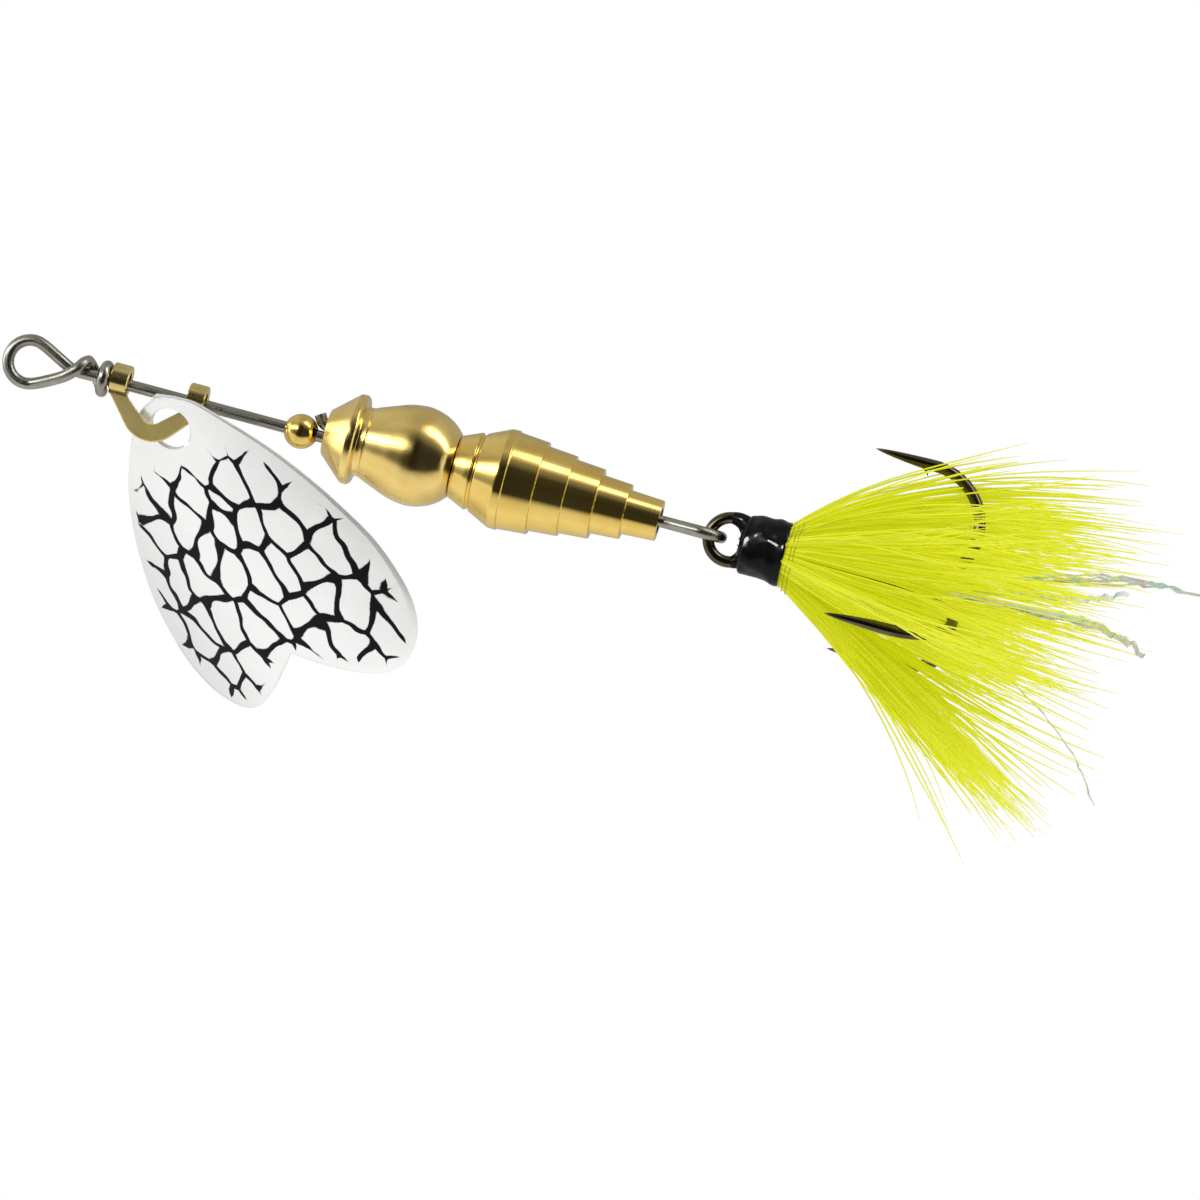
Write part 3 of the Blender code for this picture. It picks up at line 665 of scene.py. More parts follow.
@cache
def handling_group() -> Tree:
    """Build the shader group for the faint clouding that handling leaves on a surface.

    Returns:
        The group, one for all finishes.
    """
    specks_to_cloud = 14.0
    tree = Tree.group("handling", Family.SHADER, {"Place": Kind.VECTOR, "Scale": Kind.NUMBER},
                      {"Clouding": Kind.NUMBER, "Speckle": Kind.NUMBER})
    place = tree.given("Place")
    cloud = tree.noise(place, tree.given("Scale"), detail=4.0)
    tree.give("Clouding", tree.step(cloud, low=0.32, high=0.68))
    tree.give("Speckle", tree.noise(place, tree.given("Scale") * specks_to_cloud, detail=1.0))
    return tree


@cache
def tool_mark_group() -> Tree:
    """Build the shader group for the fine rings that a lathe tool leaves round the axis.

    Returns:
        The group, one for all finishes.
    """
    grains = 11.0               # in a millimetre
    dull_rings = 0.4            # for each tool mark
    apart = 7.0                 # keeps the dull rings off the tool marks' own noise
    tree = Tree.group("tool_marks", Family.SHADER,
                      {"Place": Kind.VECTOR, "Rings": Kind.NUMBER, "Grain": Kind.NUMBER},
                      {"Height": Kind.NUMBER, "Gloss": Kind.NUMBER})
    down = tree.parts(tree.given("Place"))[2] * tree.given("Rings")
    rings = tree.noise(tree.vector(0.0, 0.0, down), 1.0, detail=3.0)
    grain = tree.noise(tree.given("Place"), grains)
    tree.give("Height", rings * (1.0 - tree.given("Grain")) + grain * tree.given("Grain"))
    tree.give("Gloss", tree.noise(tree.vector(0.0, apart, down), dull_rings))
    return tree


class MaterialTree(Tree):
    """A material under construction, round its Principled shader."""

    def __init__(self, name: str) -> None:
        """Start a material.

        Args:
            name: Name of the material.
        """
        self.material = bpy.data.materials.new(name)
        self.material.use_nodes = True
        super().__init__(self.material.node_tree)

    def shade(self, inputs: dict) -> None:
        """Link or set sockets of the shader, by their names."""
        for label, value in inputs.items():
            self.feed(self.nodes.nodes["Principled BSDF"].inputs[label], value)

    def use(self, group: Tree, inputs: dict) -> bpy.types.Node:
        """Place a shader group in the material, with its own values."""
        return self.add("ShaderNodeGroup", inputs, node_tree=group.nodes)

    def attribute(self, label: str) -> Value:
        """Return a value that the piece's mesh carries."""
        return self.value("ShaderNodeAttribute", key="Fac", attribute_name=label)

    def millimetres(self) -> Value:
        """Return the place on the piece in millimetres."""
        place = self.value("ShaderNodeTexCoord", key="Object")
        return self.value("ShaderNodeVectorMath", {0: place, "Scale": 1.0 / MM}, operation="SCALE")

    def ramp(self, share: Value, ends: Pair) -> Value:
        """Return a smooth rise from one end to the other as a share goes from 0 to 1."""
        return self.step(share, 0.0, 1.0, *ends)

    def blend(self, share: Value, first: "Value | Colour", second: "Value | Colour") -> Value:
        """Return a mix of two colours."""
        paints = [paint if isinstance(paint, Value) else (*paint, 1.0) for paint in (first, second)]
        return self.value("ShaderNodeMix", {0: share, 6: paints[0], 7: paints[1]}, 2, data_type="RGBA")

    def relief(self, strength: float, depth: float, height: Value) -> Value:
        """Return the normals of a surface with a relief of a depth in millimetres."""
        return self.value("ShaderNodeBump",
                          {"Strength": strength, "Distance": depth * MM, "Height": height})


class Marks(Enum):
    """How a metal surface was made."""

    TURNED = "rings round the axis"
    ROLLED = "plain rolled or drawn skin"


@dataclass(frozen=True)
class MetalFinish:
    """Bare metal, clouded a little by handling."""

    name: str
    colour: Colour
    clouded: Colour
    roughness: Pair
    marks: Marks = Marks.ROLLED
    rings: float = 7.0          # tool marks in a millimetre
    grain: float = 0.2          # share of grain among the tool marks
    relief: float = 0.12
    depth: float = 0.02
    cloud_scale: float = 0.6
    rubbed: Pair | None = None  # x from where the metal is rubbed bright, to where it is fully so
    rubbed_left: float = 0.35   # share of the roughness that rubbing leaves

    def material(self) -> bpy.types.Material:
        """Build the finish, with its clouding in colour and gloss and its marks in relief.

        Returns:
            The material.
        """
        tree = MaterialTree(self.name)
        place = tree.millimetres()
        handled = tree.use(handling_group(), {"Place": place, "Scale": self.cloud_scale})
        clouding = tree.take(handled, "Clouding")
        gloss = clouding
        height = tree.take(handled, "Speckle")
        if self.marks is Marks.TURNED:
            turned = tree.use(tool_mark_group(),
                              {"Place": place, "Rings": self.rings, "Grain": self.grain})
            height = tree.take(turned, "Height")
            gloss = (clouding + tree.take(turned, "Gloss")) * 0.5
        rough = tree.ramp(gloss, self.roughness)
        if self.rubbed is not None:
            rough = rough * tree.step(tree.parts(place)[0], *self.rubbed, 1.0, self.rubbed_left)
        tree.shade({"Base Color": tree.blend(clouding, self.colour, self.clouded), "Metallic": 1.0,
                    "Roughness": rough, "Normal": tree.relief(self.relief, self.depth, height)})
        return tree.material


@dataclass(frozen=True)
class PrintedSilver:
    """Polished silver plate with a black net printed on its face."""

    name: str = "printed_silver"
    silver: Colour = (0.99, 0.99, 0.975)
    dulled: Colour = (0.96, 0.96, 0.94)
    shine: float = 0.52         # share of mirror among the satin white
    gloss: float = 0.12
    roughness: Pair = (0.24, 0.32)
    cloud_scale: float = 0.35
    ink: Colour = (0.004, 0.004, 0.006)
    ink_rough: float = 0.2      # added to the plate's roughness
    ink_relief: float = 0.25
    ink_depth: float = 0.03
    speck_share: float = 0.05   # of the relief
    cell: Pair = (3.3, 1.9)     # a cell of the net, along and across the blade
    scatter: float = 0.8        # how far the cells stray from even rows
    warp: Pair = (0.42, 0.55)   # scale and reach of the sway in the cells
    line: float = 0.085         # half a line's width, in cells
    swell: Pair = (0.9, 0.06)   # scale and reach of thick and thin in the lines
    ragged: Pair = (7.0, 0.02)  # and of their rough edges
    blur: float = 0.012         # softness of the lines' edges
    bare: float = 0.014         # taken off the lines, so that faded ones vanish
    margin: Pair = (0.45, 1.35)             # in from the rim, over which the print fades in
    margin_stray: Pair = (0.8, 1.2)         # scale and reach of its unevenness
    start: Pair = (1.9, 4.2)    # along from the hole, over which the print fades in
    start_stray: Pair = (0.9, 2.6)          # scale and reach of its unevenness
    seed: float = 23.0

    def net(self, tree: MaterialTree) -> Value:
        """Draw the printed net: stretched cells, with an uneven line.

        Args:
            tree: The material's tree.

        Returns:
            The mask of the ink.
        """
        along = tree.attribute("along_mm")
        across = tree.attribute("across_mm")
        flat = tree.vector(along, across, self.seed)
        turned = tree.vector(across, along, self.seed)
        warped = tree.vector(along * (1.0 / self.cell[0]) + tree.wobble(flat, *self.warp),
                             across * (1.0 / self.cell[1]) + tree.wobble(turned, *self.warp), self.seed)
        first, second = (
            tree.value("ShaderNodeTexVoronoi",
                       {"Vector": warped, "Scale": 1.0, "Randomness": self.scatter}, "Distance",
                       voronoi_dimensions="2D", feature=nearest)
            for nearest in ("F1", "F2"))
        edge = (second - first) * 0.5
        rim = tree.attribute("rim_mm") + tree.wobble(flat, *self.margin_stray)
        inside = tree.step(rim, *self.margin)
        below = tree.step(along + tree.wobble(flat, *self.start_stray), *self.start)
        uneven = tree.wobble(flat, *self.swell) + tree.wobble(flat, *self.ragged, detail=2.0)
        width = (uneven + self.line) * inside * below - self.bare
        drawn = 1.0 - tree.step(edge, width - self.blur, width + self.blur)
        return drawn * tree.attribute("face")

    def material(self) -> bpy.types.Material:
        """Build the plate, with the ink as a matt layer on the bright metal.

        Returns:
            The material.
        """
        tree = MaterialTree(self.name)
        handled = tree.use(handling_group(), {"Place": tree.millimetres(), "Scale": self.cloud_scale})
        clouding = tree.take(handled, "Clouding")
        ink = self.net(tree)
        plate = tree.blend(clouding, self.silver, self.dulled)
        height = ink * (1.0 - self.speck_share) + tree.take(handled, "Speckle") * self.speck_share
        tree.shade({"Base Color": tree.blend(ink, plate, self.ink),
                    "Metallic": (1.0 - ink) * self.shine,
                    "Specular IOR Level": self.gloss,
                    "Roughness": tree.ramp(clouding, self.roughness) + ink * self.ink_rough,
                    "Normal": tree.relief(self.ink_relief, self.ink_depth, height)})
        return tree.material


@dataclass(frozen=True)
class Lacquer:
    """Glossy lacquer over dark thread."""

    name: str
    colour: Colour
    thin: Colour                # where the lacquer is thin over the thread
    roughness: Pair
    gloss: float = 0.45
    relief: float = 0.35
    depth: float = 0.05
    cloud_scale: float = 1.3

    def material(self) -> bpy.types.Material:
        """Build the lacquer, with pooled and thin places.

        Returns:
            The material.
        """
        tree = MaterialTree(self.name)
        handled = tree.use(handling_group(), {"Place": tree.millimetres(), "Scale": self.cloud_scale})
        clouding = tree.take(handled, "Clouding")
        normals = tree.relief(self.relief, self.depth, tree.take(handled, "Speckle"))
        tree.shade({"Base Color": tree.blend(clouding, self.colour, self.thin),
                    "Roughness": tree.ramp(clouding, self.roughness),
                    "Specular IOR Level": self.gloss, "Normal": normals})
        return tree.material


@dataclass(frozen=True)
class DyedHair:
    """Fluorescent dyed hair, each strand a little different and paler at its tip, with a glow that is
    partly painted light.
    """

    name: str = "dyed_hair"
    deep: Colour = (0.62, 0.645, 0.005)
    bright: Colour = (0.755, 0.785, 0.012)
    tip: Colour = (0.78, 0.80, 0.04)
    paling: Pair = (0.55, 1.0)  # share of its length over which a strand pales
    glow: float = 0.32          # emission: partly a fluorescent dye's own light, partly painted light that lifts the shade between strands
    gloss: float = 0.35
    roughness: Pair = (0.38, 0.55)

    def material(self) -> bpy.types.Material:
        """Build the hair from the strand and along values that it grows with.

        Returns:
            The material.
        """
        tree = MaterialTree(self.name)
        strand = tree.attribute("strand")
        body = tree.blend(strand, self.deep, self.bright)
        colour = tree.blend(tree.step(tree.attribute("along"), *self.paling), body, self.tip)
        # The emission in the hair's colour is painted light that brightens its shaded strands, beside the
        # dye's own fluorescence
        tree.shade({"Base Color": colour, "Emission Color": colour, "Emission Strength": self.glow,
                    "Roughness": tree.ramp(strand, self.roughness), "Specular IOR Level": self.gloss})
        return tree.material


@dataclass(frozen=True)
class PearlFilm:
    """Iridescent film that turns from mint to pink along its crinkles."""

    name: str = "pearl_film"
    mint: Colour = (0.52, 0.80, 0.62)
    pearl: Colour = (0.86, 0.88, 0.86)
    rose: Colour = (0.82, 0.66, 0.78)
    pearly: Pair = (0.1, 0.5)   # sheen over which mint turns to pearl
    rosy: Pair = (0.6, 0.95)    # and pearl to rose
    mirror: Pair = (0.35, 0.75)
    roughness: Pair = (0.12, 0.28)
    coat: float = 0.5

    def material(self) -> bpy.types.Material:
        """Build the film from the sheen value of each crinkle.

        Returns:
            The material.
        """
        tree = MaterialTree(self.name)
        sheen = tree.attribute("sheen")
        cool = tree.blend(tree.step(sheen, *self.pearly), self.mint, self.pearl)
        tree.shade({"Base Color": tree.blend(tree.step(sheen, *self.rosy), cool, self.rose),
                    "Metallic": tree.ramp(sheen, self.mirror),
                    "Roughness": tree.ramp(sheen, self.roughness), "Coat Weight": self.coat})
        return tree.material


STEEL = MetalFinish("drawn_steel", (0.36, 0.35, 0.30), (0.28, 0.27, 0.22), (0.22, 0.34), relief=0.03)
STRIP = MetalFinish("stamped_brass", (0.76, 0.62, 0.25), (0.66, 0.52, 0.18), (0.36, 0.46), relief=0.15,
                    rubbed=(-0.95, -0.6))
BEAD = MetalFinish("bead_brass", (0.80, 0.57, 0.16), (0.72, 0.50, 0.13), (0.07, 0.14), relief=0.05)
GRAINED = MetalFinish("grained_brass", (0.84, 0.63, 0.22), (0.79, 0.56, 0.17), (0.08, 0.15),
                      marks=Marks.TURNED, grain=0.8, relief=0.5)
TURNED = MetalFinish("turned_brass", (0.84, 0.61, 0.175), (0.79, 0.54, 0.135), (0.05, 0.12),
                     marks=Marks.TURNED, relief=0.2)
EDGE = MetalFinish("bare_edge", (0.24, 0.18, 0.05), (0.18, 0.13, 0.035), (0.40, 0.52), relief=0.2)
BRONZED = MetalFinish("bronzed_steel", (0.130, 0.108, 0.066), (0.075, 0.060, 0.038), (0.10, 0.22))
BLACK_LACQUER = Lacquer("black_lacquer", (0.004, 0.004, 0.004), (0.007, 0.007, 0.007), (0.06, 0.14),
                        gloss=0.11, relief=0.012)
BLACK_THREAD = Lacquer("black_thread", (0.003, 0.003, 0.004), (0.006, 0.006, 0.008), (0.12, 0.34),
                       gloss=0.10)
ROOT_THREAD = Lacquer("root_thread", (0.24, 0.19, 0.02), (0.34, 0.29, 0.02), (0.30, 0.50))


def mount_piece(name: str, mesh: bpy.types.Mesh, coats: list[bpy.types.Material], body: str,
                slot: str, *nodes: str) -> bpy.types.Object:
    """Link a finished mesh as a piece of the lure.

    Args:
        name: Name of the piece.
        mesh: Its mesh, in place and in metres.
        coats: Its materials, in the order of the mesh's coats.
        body: The moving body that it rides on.
        slot: The record's material slot for the piece; not used.
        nodes: The solids that it stands for.

    Returns:
        The piece's object.
    """
    mesh.materials.clear()
    for coat in coats:
        mesh.materials.append(coat)
    piece = place_object(name, mesh)
    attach(piece, body)
    if nodes:
        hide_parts(*nodes)
    LOG.info("%s: %d faces, on %s", name, len(mesh.polygons), body)
    return piece


@dataclass
class ShaftWire:
    """One steel wire: line eye, wraps, shaft, rear loop, and the end that comes back to the front."""

    radius: float = 0.395
    sides: int = 28
    eye_radius: float = 1.45
    eye_centre: Pair = (-0.2, 0.5)
    eye_arc: Pair = (204.0, -24.0)
    wrap_radius: float = 0.85
    wrap_top: float = -3.28
    wrap_drop: float = 1.35     # down to the closed ring beside the clevis
    drop_turns: float = 0.5
    wrap_turns: float = 1.12
    crossing: tuple = ((0.02, -42.0, -3.12), (0.04, -82.0, -2.80))
    eye_rise: tuple = ((-0.50, -0.74, -2.14), (-1.05, -0.38, -1.16))
    eye_neck: tuple = ((0.55, 0.0, -1.30), (0.12, 0.0, -2.20), (0.0, 0.0, -2.85), (0.0, 0.0, -3.40))
    body_span: Pair = (-19.87, -42.67)
    loop_side: tuple = ((0.44, -43.2), (0.78, -44.0), (1.18, -44.9))
    loop_radius: float = 1.35
    loop_tip: float = -46.85
    tag: tuple = ((0.82, -19.71), (0.99, -19.42), (1.40, -19.14))
    strand_steps: int = 6
    wrap_steps: int = 64
    arc_points: int = 9
    curve_steps: int = 8
    tag_steps: int = 6

    def strand(self, turns: Pair) -> list[Vector]:
        """Draw one of the two strands that twist a quarter turn inside the body.

        Args:
            turns: Angles round the body's axis at its front and its rear.

        Returns:
            The points of the strand.
        """
        points = []
        for step in range(self.strand_steps + 1):
            share = step / self.strand_steps
            x, y = polar(BODY_X, between(turns, share))
            points.append(Vector((BODY_X + x, y, between(self.body_span, share))))
        return points

    def top(self) -> list[Vector]:
        """Draw the line from the wraps' cut end, round the line eye, to the shaft.

        Returns:
            The points of the line.
        """
        wraps = []
        for step in range(self.wrap_steps, -1, -1):
            turns = self.wrap_turns * step / self.wrap_steps
            x, y = polar(self.wrap_radius, 360.0 * turns)
            wraps.append(Vector((x, y, self.wrap_top - self.wrap_drop * ease(turns / self.drop_turns))))
        crossing = [Vector((*polar(self.wrap_radius + out, turned), z)) for out, turned, z in self.crossing]
        eye = [Vector((self.eye_centre[0] + x, 0.0, self.eye_centre[1] + z))
               for x, z in arc(self.eye_radius, *self.eye_arc, self.arc_points)]
        bends = [wraps[-1], *crossing, *self.eye_rise, *eye, *self.eye_neck]
        return wraps[:-1] + smooth(bends, self.curve_steps)

    def tail(self) -> list[Vector]:
        """Draw the line from the body's front, round the rear loop, to the bent-out end.

        Returns:
            The points of the line.
        """
        inside = self.strand((180.0, 270.0))
        back = self.strand((0.0, 90.0))[::-1]
        side = [Vector((BODY_X, -y, z)) for y, z in self.loop_side]
        tip = [Vector((BODY_X, y, self.loop_tip + self.loop_radius + z))
               for y, z in arc(self.loop_radius, 180.0, 360.0, self.arc_points)]
        other = [Vector((point.x, -point.y, point.z)) for point in side[::-1]]
        rear = smooth([inside[-1], *side, *tip, *other, back[0]], self.curve_steps)
        tag = smooth([back[-1], *((x, 0.0, z) for x, z in self.tag)], self.tag_steps)
        return inside[:-1] + rear + back[1:-1] + tag

    def dress(self, wires: GrowthTree) -> None:
        """Draw the wire and put it on its body.

        Args:
            wires: The tree that draws round wire.
        """
        line = self.top() + self.tail()
        steel = STEEL.material()
        mesh = wires.grow({"Sides": self.sides, "Material": steel},
                          line_mesh(line, [self.radius] * len(line)))
        mount_piece("bent_wire", mesh, [steel], "shaft", "steel_wire", "shaft_wire")


@dataclass
class Clevis:
    """Stamped strip bent edgewise to a U, with its ends rolled round the shaft."""

    middle: float = -8.33
    leaf_y: float = -0.15
    thickness: float = 0.42
    width: float = 1.18
    leg_width: float = 1.22
    arc_x: float = -1.19
    arc_radius: float = 1.50
    arc_half: float = 50.0
    arc_points: int = 41
    half_span: float = 2.63
    roll_centre: Pair = (0.22, 0.10)
    roll_radius: float = 1.06
    roll_start: float = 190.0
    roll: float = 326.0
    roll_points: int = 73
    corner: float = 0.07
    sharp: float = 32.0

    def roll_middle(self) -> float:
        """Return the radius of a roll at the middle of the strip's thickness."""
        return self.roll_radius - self.thickness / 2

    def section(self, width: float) -> list[Pair]:
        """Draw the strip's section, with eased corners.

        Args:
            width: Width of the strip there.

        Returns:
            The section's corners as offsets across and through the strip.
        """
        across = width / 2
        through = self.thickness / 2
        corner = self.corner
        return [(across, through - corner), (across - corner, through), (corner - across, through),
                (-across, through - corner), (-across, corner - through), (corner - across, -through),
                (across - corner, -through), (across, corner - through)]

    def strip(self) -> bpy.types.Object:
        """Draw the flat U.

        Returns:
            A loose object, for joining.
        """
        leg = (self.roll_centre[0] - self.roll_middle(), self.half_span)
        bend = [Vector((self.arc_x - drop, along)) for drop, along
                in arc(self.arc_radius, -self.arc_half, self.arc_half, self.arc_points)]
        line = [Vector((leg[0], -leg[1])), *bend, Vector(leg)]
        draft = Draft()
        rings = []
        for index, point in enumerate(line):
            width = self.width
            if index in (0, len(line) - 1):
                width = self.leg_width
                side = Vector((0.0, math.copysign(1.0, point.y)))
            else:
                tangent = line[index + 1] - line[index - 1]
                side = Vector((-tangent.y, tangent.x)).normalized()
            ring = []
            for across, through in self.section(width):
                spot = point + side * across
                ring.append((spot.x, self.leaf_y + through, self.middle - spot.y))
            rings.append(draft.ring(ring))
        draft.loft(rings)
        return place_object("clevis_leaf", draft.mesh())

    def knuckle(self, centre: float) -> bpy.types.Object:
        """Roll a strip end round the shaft.

        Args:
            centre: Height of the roll's middle.

        Returns:
            A loose object, for joining.
        """
        draft = Draft()
        rings = []
        for turned in np.linspace(0.0, self.roll, self.roll_points):
            ring = []
            for across, through in self.section(self.leg_width):
                x, y = polar(self.roll_middle() + through, self.roll_start - turned)
                ring.append((self.roll_centre[0] + x, self.roll_centre[1] + y, centre + across))
            rings.append(draft.ring(ring))
        draft.loft(rings)
        return place_object("clevis_roll", draft.mesh())

    def dress(self) -> None:
        """Join the leaf and the two rolls, and put the clevis on its body."""
        leaf = self.strip()
        rolls = [self.knuckle(self.middle + side * self.half_span) for side in (1, -1)]
        for roll in rolls:
            union = leaf.modifiers.new(roll.name, "BOOLEAN")
            union.operation = "UNION"
            union.object = roll
        graph = bpy.context.evaluated_depsgraph_get()
        mesh = bpy.data.meshes.new_from_object(leaf.evaluated_get(graph))
        for old in (leaf, *rolls):
            bpy.data.objects.remove(old)
        mesh.shade_smooth()
        mesh.set_sharp_from_angle(angle=math.radians(self.sharp))
        mount_piece("stamped_clevis", mesh, [STRIP.material()], "clevis", "stamped_brass", "clevis")


@dataclass
class Blade:
    """Domed two-lobed blade that hangs by its hole on the clevis."""

    hole: Spot = (-1.99, -0.05, -9.79)
    hole_radius: float = 1.43
    thickness: float = 0.42
    half_outline: tuple = ((-2.50, 0.0), (-1.80, 1.50), (-0.70, 2.85), (2.80, 5.40), (5.70, 6.95),
                           (8.90, 8.20), (12.5, 9.15), (16.5, 9.30), (19.3, 8.50), (20.9, 6.90),
                           (21.15, 5.20), (20.2, 3.20), (18.8, 1.30), (17.7, 0.0))
    yaw: float = 52.0
    pitch: float = 18.0
    roll: float = 28.0
    bow: float = 0.0054
    crown: float = 0.0255
    steps: int = 8
    levels: int = 30
    first_level: int = 3
    crowding: float = 1.15      # draws the levels in towards the hole
    ease: float = 0.11          # eased edge through the thickness
    bevel: float = 0.22         # and in from the rim
    lip: float = 0.05           # and out from the hole
    worn: float = 0.15          # more bevel for each millimetre out on the side by the body
    sharp: float = 40.0

    def axes(self) -> tuple[Vector, Vector, Vector]:
        """Turn the blade.

        Returns:
            Its long, cross and outward axes.
        """
        yaw, pitch, roll = (math.radians(turned) for turned in (self.yaw, self.pitch, self.roll))
        along = Vector((-math.sin(yaw), 0.0, -math.cos(yaw)))
        across = Vector((math.cos(yaw), 0.0, -math.sin(yaw)))
        face = Vector((0.0, -1.0, 0.0))
        tilted = along * math.sin(pitch) + face * math.cos(pitch)
        long_axis = along * math.cos(pitch) - face * math.sin(pitch)
        cross_axis = across * math.cos(roll) + tilted * math.sin(roll)
        return long_axis, cross_axis, tilted * math.cos(roll) - across * math.sin(roll)

    def outline(self) -> list[Vector]:
        """Return the closed outline, from the notch round both lobes."""
        half = smooth([(a, b, 0.0) for a, b in self.half_outline], self.steps)
        return half[::-1] + [Vector((point.x, -point.y, 0.0)) for point in half[1:-1]]

    def surface(self, flat: Vector, side: float, axes: tuple[Vector, Vector, Vector]) -> Vector:
        """Find a point of the domed sheet.

        Args:
            flat: Where it lies along and across the blade.
            side: Its share of half the thickness, out from the middle.
            axes: The blade's axes.

        Returns:
            The point in the lure's frame.
        """
        long_axis, cross_axis, outward = axes
        run = max(flat.x, 0.0)
        drop = self.bow * run ** 2 + self.crown * flat.y ** 2
        normal = long_axis * 2 * self.bow * run + cross_axis * 2 * self.crown * flat.y + outward
        middle = Vector(self.hole) + long_axis * flat.x + cross_axis * flat.y - outward * drop
        return middle + normal.normalized() * side * self.thickness / 2

    def rows(self) -> list[Spot]:
        """List the rows from the hole's front lip over the face, the rim and the back again.

        Returns:
            Rows as a share of the way out, a step in from that edge, and a share of half thickness.
        """
        eased = 1.0 - 2 * self.ease / self.thickness
        shares = [(index / self.levels) ** self.crowding for index in range(self.first_level, self.levels)]
        face = [(0.0, -self.lip, 1.0), *((share, 0.0, 1.0) for share in shares), (1.0, self.bevel, 1.0)]
        rim = [(1.0, 0.0, eased), (1.0, 0.0, -eased)]
        back = [(share, inset, -1.0) for share, inset, _ in face[::-1]]
        lip = [(0.0, 0.0, -eased), (0.0, 0.0, eased)]
        return face + rim + back + lip

    def flat_row(self, outline: list[Vector], share: float, inset: float) -> list[Vector]:
        """Lay out a row of the sheet, between the hole and the outline.

        Args:
            outline: The blade's outline.
            share: Share of the way out.
            inset: Step in from there.

        Returns:
            The row's points, along and across the blade.
        """
        row = []
        for edge in outline:
            x, y = polar(self.hole_radius, math.degrees(math.atan2(edge.y, edge.x)))
            inner = Vector((x, y, 0.0))
            way = edge - inner
            rubbed = 1.0 + self.worn * max(edge.y, 0.0)
            row.append(inner + way * share - way.normalized() * inset * rubbed)
        return row

    def dress(self) -> None:
        """Draw the sheet with its outline marks for the print, and put it on its body."""
        axes = self.axes()
        outline = self.outline()
        rim_line = np.array([(point.x, point.y) for point in outline])
        draft = Draft()
        rings = []
        rows = self.rows()
        for share, inset, side in rows:
            flat = self.flat_row(outline, share, inset)
            spots = np.array([(point.x, point.y) for point in flat])
            rings.append(draft.ring(
                [self.surface(point, side, axes) for point in flat],
                along_mm=[point.x for point in flat], across_mm=[point.y for point in flat],
                rim_mm=[float(np.linalg.norm(rim_line - spot, axis=1).min()) for spot in spots],
                face=[float(side == 1.0)] * len(flat)))
        edges = [abs(side) < 1.0 for _, _, side in rows]
        for number, ring in enumerate(rings):
            after = (number + 1) % len(rings)
            draft.bridge([ring, rings[after]], int(edges[number] or edges[after]))
        mount_piece("domed_blade", draft.mesh(self.sharp), [PrintedSilver().material(), EDGE.material()],
                    "blade", "silver_plate", "blade")


@dataclass
class BearingBead:
    """Round brass bead, drilled for the shaft."""

    centre: float = -18.2
    radius: float = 1.16
    bore: float = 0.45
    points: int = 41
    segments: int = 72

    def dress(self) -> None:
        """Turn the bead and put it on its body."""
        edge = math.degrees(math.asin(self.bore / self.radius))
        profile = arc(self.radius, 90.0 - edge, edge - 90.0, self.points)
        draft = Draft()
        draft.revolve([(r, self.centre + z) for r, z in profile], self.segments, 0.0)
        mount_piece("bearing_ball", draft.mesh(), [BEAD.material()], "bead", "bead_brass", "bead")


@dataclass
class TurnedBody:
    """Two turned brass weights that meet at the waist, drawn as radius and distance from the front."""

    front: float = -19.87
    bore: float = 0.86
    segments: int = 144
    edge: float = 0.055
    sharp: float = 30.0
    flange: tuple = ((1.52, 0.0), (3.02, 1.68), (3.04, 2.08), (2.88, 2.26), (2.32, 2.36), (2.34, 2.74))
    vase: tuple = ((2.34, 2.74), (2.55, 3.23), (2.85, 4.03), (3.13, 4.80), (3.29, 5.50), (3.35, 6.10),
                   (3.34, 6.45), (3.25, 6.95), (3.09, 7.45), (2.87, 7.90), (2.55, 8.35), (2.12, 8.78))
    vase_steps: int = 5
    cone: tuple = ((2.10, 8.85), (2.64, 10.1), (2.50, 10.2), (2.50, 10.32), (2.66, 10.42), (3.35, 11.9),
                   (3.38, 12.45))
    steps: tuple = ((3.28, 3.12), (2.88, 2.72), (2.51, 2.36), (1.98, 1.85), (1.49, 1.36))
    step_start: float = 12.5
    step_length: float = 2.0
    length: float = 22.8

    def front_outline(self) -> list[Pair]:
        """Draw the front weight: a coned flange, then a vase.

        Returns:
            Its outline.
        """
        curve = smooth([(r, s, 0.0) for r, s in self.vase], self.vase_steps)
        vase = [(point.x, point.y) for point in curve]
        flange = fillet([(self.bore, 0.0), *self.flange], self.edge)[:-1]
        return flange + vase[:-1] + fillet([vase[-2], vase[-1], (self.bore, vase[-1][1])], self.edge)[1:]

    def rear_outline(self) -> list[Pair]:
        """Draw the rear weight: a grooved cone, then steps down to the rear.

        Returns:
            Its outline.
        """
        line = [(self.bore, self.cone[0][1]), *self.cone]
        for index, (start, end) in enumerate(self.steps):
            near = self.step_start + self.step_length * index
            far = self.length if index == len(self.steps) - 1 else near + self.step_length
            line += [(start, near), (end, far)]
        return fillet([*line, (self.bore, self.length)], self.edge)

    def dress(self) -> None:
        """Turn both weights and put each on its own body."""
        for name, node, outline, finish in (
                ("turned_front", "front_body", self.front_outline(), GRAINED),
                ("turned_rear", "rear_body", self.rear_outline(), TURNED)):
            draft = Draft()
            draft.revolve([(r, self.front - s) for r, s in outline], self.segments, BODY_X)
            mount_piece(name, draft.mesh(self.sharp), [finish.material()], node, "turned_brass", node)


